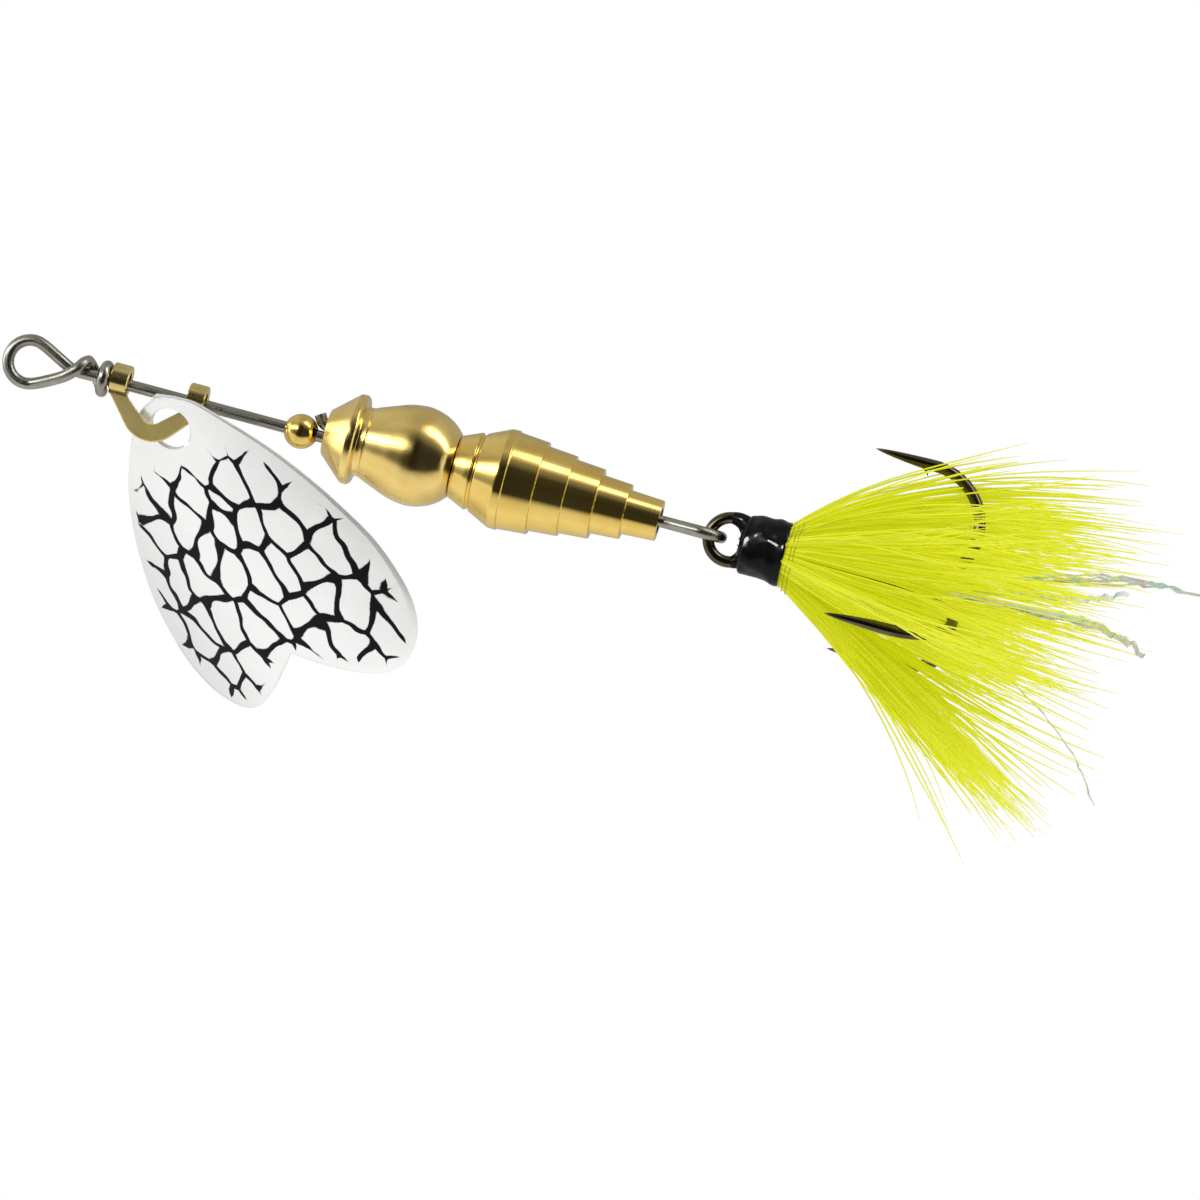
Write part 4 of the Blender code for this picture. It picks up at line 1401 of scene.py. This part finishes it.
@dataclass
class Treble:
    """Three barbed hooks: a pair bent from one wire with the eye, and a third brazed beside them."""

    radius: float = 0.39
    sides: int = 24
    shank_offset: float = 0.47
    angles: Spot = (8.4, 128.4, -111.6)     # the pair's two hooks, then the third
    eye_radius: float = 1.45
    eye_z: float = -47.485
    eye_arc: Pair = (-50.0, 230.0)
    eye_points: int = 17
    eye_steps: int = 6
    necks: tuple = ((0.46, 0.03), (-0.42, 0.18))
    neck_z: float = -49.65
    shank_top: float = -50.3
    bend_radius: float = 3.9
    bend_z: float = -59.2
    bend_points: int = 49
    point_z: float = -55.1
    taper: float = 3.6
    taper_steps: int = 12
    taper_curve: float = 0.62
    belly: float = 0.12         # fullness of the point along its taper
    blunt: float = 0.03         # share of the wire's radius left at the tip
    lean: float = 0.12          # how far the point leans out
    lean_curve: float = 1.3
    barb_z: float = -58.9
    barb_length: float = 0.95
    barb_reach: float = 0.42
    barb_back: Pair = (0.30, 0.55)          # in from the point's line and up, on the barb's back
    barb_throat: float = 0.28
    barb_half: Pair = (0.14, 0.03)          # half thickness at the root and at the tip
    barb_sharp: float = 20.0

    def reach(self) -> float:
        """Return how far out the point stands."""
        return self.shank_offset + 2 * self.bend_radius

    def hook(self, turned: float) -> tuple[list[Vector], list[float]]:
        """Draw a hook from the shank's top to the needle point.

        Args:
            turned: Angle of the hook round the treble's axis.

        Returns:
            The points of its line, and the radius at each.
        """
        flat = [(self.shank_offset, self.shank_top), (self.shank_offset, self.bend_z)]
        for across, z in arc(self.bend_radius, 180.0, 360.0, self.bend_points)[1:]:
            flat.append((self.shank_offset + self.bend_radius + across, self.bend_z + z))
        radii = [self.radius] * len(flat)
        start = self.point_z - self.taper
        for step in range(1, self.taper_steps + 1):
            share = step / self.taper_steps
            flat.append((self.reach() + self.lean * share ** self.lean_curve, start + self.taper * share))
            thin = (1.0 - share) ** self.taper_curve * (1.0 + self.belly * share)
            radii.append(self.radius * max(self.blunt, thin))
        cosine, sine = polar(1.0, turned)
        return [Vector((BODY_X + u * cosine, u * sine, z)) for u, z in flat], radii

    def barb(self, turned: float) -> bpy.types.Mesh:
        """Raise a sliver from the inner side of a point.

        Args:
            turned: Angle of the hook round the treble's axis.

        Returns:
            The barb's mesh.
        """
        cosine, sine = polar(1.0, turned)
        root = self.reach()
        inward, up = self.barb_back
        outline = ((root, self.barb_z + self.barb_length), (root - inward, self.barb_z + up),
                   (root - self.radius - self.barb_reach, self.barb_z),
                   (root, self.barb_z + self.barb_throat))
        draft = Draft()
        rings = []
        for side in (-1, 1):
            ring = []
            for u, z in outline:
                half = self.barb_half[1] if u < root - self.radius else self.barb_half[0]
                ring.append((BODY_X + u * cosine - side * half * sine, u * sine + side * half * cosine, z))
            rings.append(draft.ring(ring))
        draft.loft(rings)
        return draft.mesh(self.barb_sharp)

    def dress(self, wires: GrowthTree) -> None:
        """Draw both wires with their barbs and put them on the treble's body.

        Args:
            wires: The tree that draws round wire.
        """
        hooks = [self.hook(turned) for turned in self.angles]
        (first, first_radii), (second, second_radii), (third, third_radii) = hooks
        eye = [Vector((BODY_X + x, 0.0, self.eye_z + z))
               for x, z in arc(self.eye_radius, *self.eye_arc, self.eye_points)]
        necks = [Vector((BODY_X + x, y, self.neck_z)) for x, y in self.necks]
        middle = smooth([first[0], necks[0], *eye, necks[1], second[0]], self.eye_steps)
        pair = first[:0:-1] + middle + second[1:]
        pair_radii = first_radii[:0:-1] + [self.radius] * len(middle) + second_radii[1:]
        bronze = BRONZED.material()
        for name, node, line, radii, turns in (
                ("treble_double", "hook_pair", pair, pair_radii, self.angles[:2]),
                ("treble_single", "hook_third", third, third_radii, self.angles[2:])):
            wire = wires.grow({"Sides": self.sides, "Material": bronze}, line_mesh(line, radii))
            mesh = join_meshes([wire, *(self.barb(turned) for turned in turns)])
            mount_piece(name, mesh, [bronze], "treble", "bronzed_steel", node)


@dataclass(frozen=True)
class Winding:
    """Turns of thread on the head."""

    name: str
    finish: Lacquer
    turns: float
    span: Pair                  # heights of its top and its lower end
    radii: Pair                 # of the turns there
    thread: float
    unevenness: float = 0.5


@dataclass
class ThreadHead:
    """Thread wound over the hair's roots and soaked with lacquer."""

    span: Pair = (-48.15, -51.25)
    radii: Pair = (1.90, 2.18)
    dome: float = 0.42          # height of the rounded shoulder at the eye's end
    dome_left: float = 0.68     # share of the radius left at its top
    tuck: Pair = (0.08, 0.25)   # depth and height of the step in at the hair
    around: int = 128
    rows: int = 64
    sharp: float = 60.0
    lump: float = 0.23
    lump_scale: Pair = (0.75, 1.1)          # lumps in a millimetre, across and along
    calm: Pair = (0.25, 0.7)    # share of the lumps left at the hair, and the height over which they fade
    shift: float = 0.06         # of the lumps along the head
    shift_seed: float = 9.0     # keeps that apart from the lumps
    crept: tuple = ((-70.0, 8.0), (250.0, 196.0))   # stretches of the eye that the lacquer crept up
    crept_radii: Pair = (0.95, 0.40)
    crept_curve: float = 0.7
    crept_lump: Pair = (2.6, 0.06)          # lumps in a millimetre, and their height
    crept_points: int = 25
    crept_sides: int = 20
    windings: tuple = (Winding("head_thread", BLACK_THREAD, 9.0, (-48.57, -51.13), (1.61, 1.91), 0.08),
                       Winding("root_thread", ROOT_THREAD, 3.0, (-51.15, -52.0), (2.16, 2.60), 0.02))
    seed: int = 9

    def barrel(self) -> bpy.types.Mesh:
        """Draw the lumpy lacquered barrel, closed round the hooks' shanks.

        Returns:
            Its mesh.
        """
        draft = Draft()
        rings = []
        height = self.span[0] - self.span[1]
        across, along = self.lump_scale
        for row in range(self.rows + 1):
            share = row / self.rows
            left = (1.0 - share) * height
            shoulder = min(1.0, share * height / self.dome)
            z = between(self.span, share)
            base = between(self.radii, share)
            base *= between((self.dome_left, 1.0), math.sin(math.pi / 2 * shoulder))
            base -= self.tuck[0] * max(0.0, 1.0 - left / self.tuck[1]) ** 2
            rough = shoulder * between((self.calm[0], 1.0), ease(left / self.calm[1]))
            ring = []
            for step in range(self.around):
                turned = 360.0 * step / self.around
                x, y = polar(base, turned)
                grain = noise.noise(Vector((x * across, y * across, z * along + self.seed)))
                x, y = polar(base + self.lump * grain * rough, turned)
                shifted = noise.noise(Vector((x, y, self.seed + self.shift_seed)))
                ring.append((BODY_X + x, y, z + self.shift * shifted))
            rings.append(draft.ring(ring))
        draft.loft(rings)
        return draft.mesh(self.sharp)

    def sleeve(self, wires: GrowthTree, treble: Treble, turns: Pair,
               coat: bpy.types.Material) -> bpy.types.Mesh:
        """Draw lacquer that crept up the wire of the treble's eye, thinning out.

        Args:
            wires: The tree that draws round wire.
            treble: The treble.
            turns: Angles round its eye from which and to which the lacquer crept.
            coat: The lacquer.

        Returns:
            The sleeve's mesh.
        """
        line = []
        radii = []
        scale, lump = self.crept_lump
        for share in np.linspace(0.0, 1.0, self.crept_points):
            x, z = polar(treble.eye_radius, between(turns, share))
            line.append(Vector((BODY_X + x, 0.0, treble.eye_z + z)))
            lumps = lump * noise.noise(Vector((x * scale, z * scale, self.seed)))
            radii.append(between(self.crept_radii, share ** self.crept_curve) + lumps * (1.0 - share))
        return wires.grow({"Sides": self.crept_sides, "Material": coat}, line_mesh(line, radii))

    def dress(self, threads: GrowthTree, wires: GrowthTree, treble: Treble) -> bpy.types.Object:
        """Make the lacquer and the thread that shows through and past it.

        Args:
            threads: The tree that winds thread.
            wires: The tree that draws round wire.
            treble: The treble, whose eye the lacquer runs up to.

        Returns:
            The lacquered head.
        """
        lacquer = BLACK_LACQUER.material()
        sleeves = [self.sleeve(wires, treble, turns, lacquer) for turns in self.crept]
        mesh = join_meshes([self.barrel(), *sleeves])
        head = mount_piece("lacquered_head", mesh, [lacquer], "treble", "black_thread", "thread_head")
        for winding in self.windings:
            coat = winding.finish.material()
            top, end = winding.span
            mesh = threads.grow({
                "Turns": winding.turns, "Start Radius": winding.radii[1] * MM,
                "End Radius": winding.radii[0] * MM, "Height": (top - end) * MM,
                "Thread Radius": winding.thread * MM, "Place": (BODY_X * MM, 0.0, end * MM),
                "Unevenness": winding.unevenness * MM, "Seed": self.seed, "Material": coat})
            mount_piece(winding.name, mesh, [coat], "treble", "black_thread")
        return head


@dataclass(frozen=True)
class Lock:
    """A lock of hair: where it grows, how it fans out, and how long and how many its strands are."""

    azimuth: float              # 0 at the picture's upper side and -90 to the viewer
    spread: float
    cone: Pair                  # from the axis, inner and outer strands
    length: Pair
    strands: int
    flare: float = 0.2          # share by which the cone opens at the root
    pull: float = 0.15          # share by which the lock draws together at the tip
    wave: float = 0.12
    tuft_size: int = 12
    tuft: float = 0.83          # share by which the strands of a tuft gather at the tip


@dataclass(frozen=True)
class Film:
    """A strand of film, as one or more ribbons side by side."""

    azimuth: Pair               # at the root and at the tip, as a lock's
    cone: Pair
    length: float
    ribbons: int


@dataclass
class Dressing:
    """Dyed hair in three bunches between the hooks, with strands of pearl film among it."""

    root_z: float = -50.95
    root: Pair = (0.55, 1.72)
    radius: float = 0.085
    points: int = 12
    film_root: float = 0.4
    film_width: float = 0.32
    film_thickness: float = 0.05
    film_top: float = -51.3
    film_steps: int = 14
    film_points: int = 46
    film_crinkle: float = 0.16
    film_apart: float = 1.7     # angle between the ribbons of a strand
    film_shorter: float = 1.3   # by which each ribbon is shorter than the one before
    late: int = 3               # power by which a strand of film bends late
    seed: int = 31
    lock_seed: int = 17         # between two locks
    film_seed: int = 5          # between two strands of film

    def bunches(self) -> dict[str, tuple[Lock, ...]]:
        """Return the locks of each bunch, by the solid that the bunch stands for."""
        return {
            "hair_near": (Lock(-18.0, 40.0, (4.0, 11.0), (20.0, 26.5), 24, flare=0.6),
                          Lock(-48.0, 34.0, (6.0, 24.0), (18.5, 26.0), 60, flare=0.4),
                          Lock(-74.0, 22.0, (8.0, 36.0), (19.0, 26.5), 56),
                          Lock(-93.0, 18.0, (8.0, 31.0), (19.0, 26.5), 28),
                          Lock(-95.0, 7.0, (23.0, 29.0), (23.0, 26.0), 24, tuft_size=24, tuft=0.5),
                          Lock(-110.0, 24.0, (8.0, 37.0), (19.0, 26.0), 66),
                          Lock(-24.0, 40.0, (25.0, 33.0), (18.5, 25.0), 7, flare=0.35, tuft_size=1)),
            "hair_far": (Lock(31.0, 46.0, (3.0, 23.5), (20.0, 27.0), 250, flare=0.65),
                         Lock(82.0, 84.0, (3.0, 30.0), (18.5, 26.5), 420),
                         Lock(24.0, 36.0, (25.0, 33.0), (18.5, 25.0), 7, flare=0.35, tuft_size=1)),
            "hair_lower": (Lock(186.0, 58.0, (24.0, 31.0), (20.0, 25.0), 280, flare=-0.06, pull=0.4),
                           Lock(148.0, 46.0, (3.0, 20.0), (18.0, 25.0), 130),
                           Lock(230.0, 44.0, (3.0, 24.0), (18.0, 25.0), 76),
                           Lock(188.0, 60.0, (37.0, 44.0), (21.0, 24.0), 6, flare=-0.3, tuft_size=1))}

    def films(self) -> dict[str, Film]:
        """Return the strands of film, by the solids that they stand for."""
        return {"tinsel_upper": Film((-25.0, -62.0), (7.0, 18.7), 28.5, 4),
                "tinsel_middle": Film((-74.0, -91.0), (3.0, 25.0), 27.0, 3),
                "tinsel_lower": Film((-165.0, -137.0), (9.0, 30.5), 27.5, 1),
                "tinsel_far": Film((74.0, 74.0), (14.0, 28.0), 25.0, 2)}

    def lock_inputs(self, lock: Lock) -> dict[str, float]:
        """List the hair tree's sizes for a lock.

        Args:
            lock: The lock.

        Returns:
            Values of the tree's inputs, apart from the seed and the material.
        """
        angles = {"Azimuth": lock.azimuth, "Spread": lock.spread,
                  "Cone Inner": lock.cone[0], "Cone Outer": lock.cone[1]}
        sizes = {"Root Inner": self.root[0], "Root Outer": self.root[1], "Root Z": self.root_z,
                 "Length Min": lock.length[0], "Length Max": lock.length[1],
                 "Radius": self.radius, "Axis X": BODY_X}
        return {"Strands": lock.strands, "Points": self.points, "Flare": lock.flare, "Pull": lock.pull,
                "Wave": lock.wave, "Tuft": lock.tuft, "Tuft Size": lock.tuft_size,
                **{label: math.radians(angle) for label, angle in angles.items()},
                **{label: size * MM for label, size in sizes.items()}}

    def hair(self, hairs: GrowthTree) -> None:
        """Grow each bunch from its locks.

        Args:
            hairs: The tree that grows a lock.
        """
        coat = DyedHair().material()
        seed = self.seed
        for node, locks in self.bunches().items():
            grown = []
            for lock in locks:
                seed += self.lock_seed
                grown.append(hairs.grow({**self.lock_inputs(lock), "Seed": seed, "Material": coat}))
            mount_piece(node + "_locks", join_meshes(grown), [coat], "treble", "chartreuse_hair", node)

    def film_line(self, film: Film, number: int) -> list[Vector]:
        """Draw the line of a ribbon, flaring from under the thread.

        Args:
            film: The strand of film.
            number: Number of the ribbon in it.

        Returns:
            The points of the line.
        """
        aside = self.film_apart * (number - (film.ribbons - 1) / 2)
        length = film.length - self.film_shorter * number
        line = []
        for step in range(self.film_steps + 1):
            share = step / self.film_steps
            bend = math.radians(between(film.cone, share ** self.late))
            turned = between(film.azimuth, share ** self.late) + aside
            run = length * share
            x, y = polar(self.film_root + run * math.sin(bend), turned)
            line.append(Vector((BODY_X + x, y, self.film_top - run * math.cos(bend))))
        return line

    def film(self, ribbons: GrowthTree) -> None:
        """Draw the strands of film.

        Args:
            ribbons: The tree that draws a ribbon.
        """
        coat = PearlFilm().material()
        for order, (node, film) in enumerate(self.films().items()):
            grown = [ribbons.grow({
                "Width": self.film_width * MM, "Thickness": self.film_thickness * MM,
                "Points": self.film_points, "Crinkle": self.film_crinkle * MM,
                "Seed": self.seed + self.film_seed * order + number, "Material": coat,
            }, line_mesh(self.film_line(film, number))) for number in range(film.ribbons)]
            mount_piece(node + "_film", join_meshes(grown), [coat], "treble", "pearl_tinsel", node)


@dataclass(frozen=True)
class SoftLamp:
    """A soft lamp that faces the shaft, with its length along it."""

    name: str
    turned: float               # round the shaft, from the camera to the picture's upper side
    away: float
    size: Pair
    power: float
    height: float               # of its middle along the shaft

    def hang(self) -> bpy.types.Object:
        """Hang the lamp.

        Returns:
            The lamp, which doesn't show in reflections.
        """
        data = bpy.data.lights.new(self.name, "AREA")
        data.shape = "RECTANGLE"
        data.size = self.size[0] * MM
        data.size_y = self.size[1] * MM
        data.energy = self.power
        lamp = place_object(self.name, data)
        lamp.visible_glossy = False
        turned = math.radians(self.turned)
        back = Vector((math.sin(turned), -math.cos(turned), 0.0))
        up = Vector((0.0, 0.0, 1.0))
        stand(lamp, back * self.away + up * self.height, up.cross(back), up, back)
        return lamp


@dataclass
class Studio:
    """Pale floor, soft light and the camera at the photograph's angle."""

    target: Spot = (-5.62, 0.0, -40.22)
    frame_width: float = 78.86
    distance: float = 450.0
    elevation: float = -5.0     # the tail is a little nearer to the camera
    slope: float = 15.06        # by which the shaft falls to the right in the picture
    sensor: float = 36.0
    clip: Pair = (10.0, 10000.0)
    ambient: float = 0.62
    key: SoftLamp = SoftLamp("key_lamp", 52.0, 320.0, (150.0, 420.0), 0.32, -20.0)
    fill: SoftLamp = SoftLamp("fill_lamp", -75.0, 360.0, (300.0, 420.0), 0.37, -60.0)
    gleam: SoftLamp = SoftLamp("gleam_lamp", 24.0, 320.0, (70.0, 180.0), 3.6, -20.0)
    floor_z: float = -96.0
    floor_radius: float = 90.0
    floor_hoops: int = 12
    floor_pitch: int = 6        # angle between the points of a hoop
    floor_middle: float = 0.5   # radius of the first hoop
    floor_fade: float = 0.35    # share of the radius from which the floor fades
    floor_colour: Colour = (0.93, 0.93, 0.93)
    floor_rough: float = 0.7
    tent_radius: float = 560.0
    tent_points: int = 181
    tent_cone: tuple = ((-180, 0.45), (-119, 0.70), (-87, 1.00), (-34, 0.95), (-26, 0.42), (-14, 0.45),
                        (-6, 0.70), (0, 1.00), (8, 3.00), (14, 5.20), (30, 5.20), (38, 1.60), (46, 0.60),
                        (56, 0.44), (68, 0.55), (119, 0.66), (180, 0.45))
    tent_front: tuple = ((-180, 0.45), (-119, 0.70), (-87, 1.04), (-56, 0.98), (-42, 0.95), (-36, 0.80),
                         (-29, 0.26), (-14, 0.14), (-6, 0.28), (2, 0.60), (9, 2.40), (14, 5.50),
                         (23, 5.50), (30, 1.40), (40, 0.80), (50, 0.50), (62, 0.60), (119, 0.66),
                         (180, 0.45))
    tent_middle: tuple = ((-180, 0.45), (-140, 0.75), (-116, 0.92), (-87, 1.04), (-56, 0.86), (-46, 0.72),
                          (-40, 0.46), (-33, 0.03), (26, 0.03), (40, 0.12), (52, 0.30), (64, 0.55),
                          (86, 0.46), (116, 0.50), (150, 0.40), (180, 0.45))
    tent_steps: tuple = ((-180, 0.45), (-140, 0.75), (-116, 0.92), (-87, 1.04), (-56, 0.90), (-46, 0.78),
                         (-41, 0.46), (-34, 0.02), (34, 0.02), (48, 0.25), (56, 0.50), (62, 0.75),
                         (64, 1.10), (67, 1.10), (70, 0.70), (86, 0.46), (116, 0.50), (150, 0.40),
                         (180, 0.45))
    tent_tail: tuple = ((-180, 0.45), (-117, 0.76), (-87, 1.02), (-56, 0.88), (-47, 0.72), (-41, 0.44),
                        (-33, 0.05), (8, 0.04), (28, 0.06), (50, 0.36), (58, 1.20), (63, 5.00),
                        (72, 5.00), (80, 1.10), (92, 0.66), (117, 0.50), (180, 0.45))
    tent_rows: tuple = (-1200.0, -140.0, -50.0, -5.0, 30.0, 150.0, 330.0, 590.0, 640.0, 1200.0)
    tent_cap: tuple = ((420.0, 1.8), (140.0, 3.2), (5.0, 3.2))  # radius and glow over the line's end

    def camera(self) -> None:
        """Set the camera, rolled so that the hanging lure lies across the picture."""
        raised = math.radians(self.elevation)
        sloped = math.radians(self.slope)
        back = Vector((0.0, -math.cos(raised), math.sin(raised)))
        level = Vector((1.0, 0.0, 0.0))
        upright = Vector((0.0, math.sin(raised), math.cos(raised)))
        right = level * math.sin(sloped) - upright * math.cos(sloped)
        up = level * math.cos(sloped) + upright * math.sin(sloped)
        data = bpy.data.cameras.new("camera")
        data.sensor_width = self.sensor
        data.lens = self.sensor * self.distance / self.frame_width
        data.clip_start = self.clip[0] * MM
        data.clip_end = self.clip[1] * MM
        camera = place_object("camera", data)
        stand(camera, Vector(self.target) + back * self.distance, right, up, back)
        bpy.context.scene.camera = camera

    def world(self) -> None:
        """Light from all round, with white behind the lure and in its reflections."""
        world = bpy.data.worlds.new("studio")
        bpy.context.scene.world = world
        world.use_nodes = True
        tree = Tree(world.node_tree)
        path = tree.add("ShaderNodeLightPath")
        seen = tree.math("MAXIMUM", tree.take(path, "Is Camera Ray"), tree.take(path, "Is Glossy Ray"))
        seen = tree.math("MAXIMUM", seen, tree.take(path, "Is Transmission Ray"))
        background = world.node_tree.nodes["Background"]
        tree.feed(background.inputs["Strength"], seen * (1.0 - self.ambient) + self.ambient)
        tree.feed(background.inputs["Color"], (1.0, 1.0, 1.0, 1.0))

    def lamps(self, head: bpy.types.Object) -> None:
        """Hang the lamps, the last of them to gleam on the wet-looking lacquer alone.

        Args:
            head: The lacquered head.
        """
        self.key.hang()
        self.fill.hang()
        gleam = self.gleam.hang()
        gleam.visible_glossy = True
        gleam.visible_diffuse = False
        lacquered = bpy.data.collections.new("lacquered")
        lacquered.objects.link(head)
        gleam.light_linking.receiver_collection = lacquered

    def reflections(self) -> None:
        """Stand a tent round the lure that only shows in its reflections.

        Its glow goes by the angle round the shaft, from the camera to the picture's upper side, and
        changes from the tail's end to the line's end: dark towards the camera, pale below.
        """
        turns = np.linspace(-180.0, 180.0, self.tent_points)
        zones = [zone for zone in (self.tent_tail, self.tent_steps, self.tent_middle, self.tent_front,
                                   self.tent_cone) for _ in range(2)]
        draft = Draft()
        rings = []
        hoops = [(self.tent_radius, height, np.interp(turns, *zip(*stops)))
                 for height, stops in zip(self.tent_rows, zones)]
        hoops += [(radius, self.tent_rows[-1], np.full(len(turns), glow)) for radius, glow in self.tent_cap]
        for radius, height, glow in hoops:
            spots = [(*polar(radius, turned - 90.0), self.target[2] + height) for turned in turns]
            rings.append(draft.ring(spots, glow=[float(shade) for shade in glow]))
        draft.bridge(rings, closed=False)
        tent = place_object("tent", draft.mesh())
        tree = MaterialTree("tent")
        tree.shade({"Base Color": (0.0, 0.0, 0.0, 1.0), "Roughness": 1.0, "Specular IOR Level": 0.0,
                    "Emission Color": tree.attribute("glow"), "Emission Strength": 1.0})
        tent.data.materials.append(tree.material)
        tent.visible_camera = False
        tent.visible_diffuse = False
        tent.visible_shadow = False

    def floor(self) -> None:
        """Lay a pale round floor under the tail, fading out at its rim."""
        draft = Draft()
        rings = []
        for radius in np.linspace(self.floor_middle, self.floor_radius, self.floor_hoops):
            rings.append(draft.ring([(*polar(radius, turned), self.floor_z)
                                     for turned in range(0, 360, self.floor_pitch)]))
        draft.bridge(rings)
        draft.cap(rings[0])
        floor = place_object("floor", draft.mesh())
        tree = MaterialTree("pale_floor")
        x, y = tree.parts(tree.millimetres())[:2]
        out = (x ** 2.0 + y ** 2.0) ** 0.5
        faded = tree.step(out, self.floor_fade * self.floor_radius, self.floor_radius, 1.0, 0.0)
        tree.shade({"Base Color": (*self.floor_colour, 1.0), "Roughness": self.floor_rough,
                    "Alpha": faded})
        floor.data.materials.append(tree.material)
        floor.visible_glossy = False

    def build(self, head: bpy.types.Object) -> None:
        """Set the camera, the light, the tent and the floor round the dressed lure.

        Args:
            head: The lacquered head, which has a lamp of its own.
        """
        self.camera()
        self.world()
        self.lamps(head)
        self.reflections()
        self.floor()


def clear_scene() -> None:
    """Remove what a new file starts with."""
    for old in list(bpy.data.objects):
        bpy.data.objects.remove(old, do_unlink=True)


def main() -> None:
    """Dress the lure from the line eye to the tail, and set up its studio."""
    logging.basicConfig(level=logging.INFO, format="%(name)s %(message)s")
    clear_scene()
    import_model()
    bpy.context.scene.view_settings.view_transform = "Standard"

    wires = wire_tree()
    ShaftWire().dress(wires)
    Clevis().dress()
    Blade().dress()
    BearingBead().dress()
    TurnedBody().dress()
    treble = Treble()
    treble.dress(wires)
    head = ThreadHead().dress(winding_tree(), wires, treble)
    dressing = Dressing()
    dressing.hair(hair_tree())
    dressing.film(ribbon_tree())
    Studio().build(head)


if __name__ == "__main__":
    main()
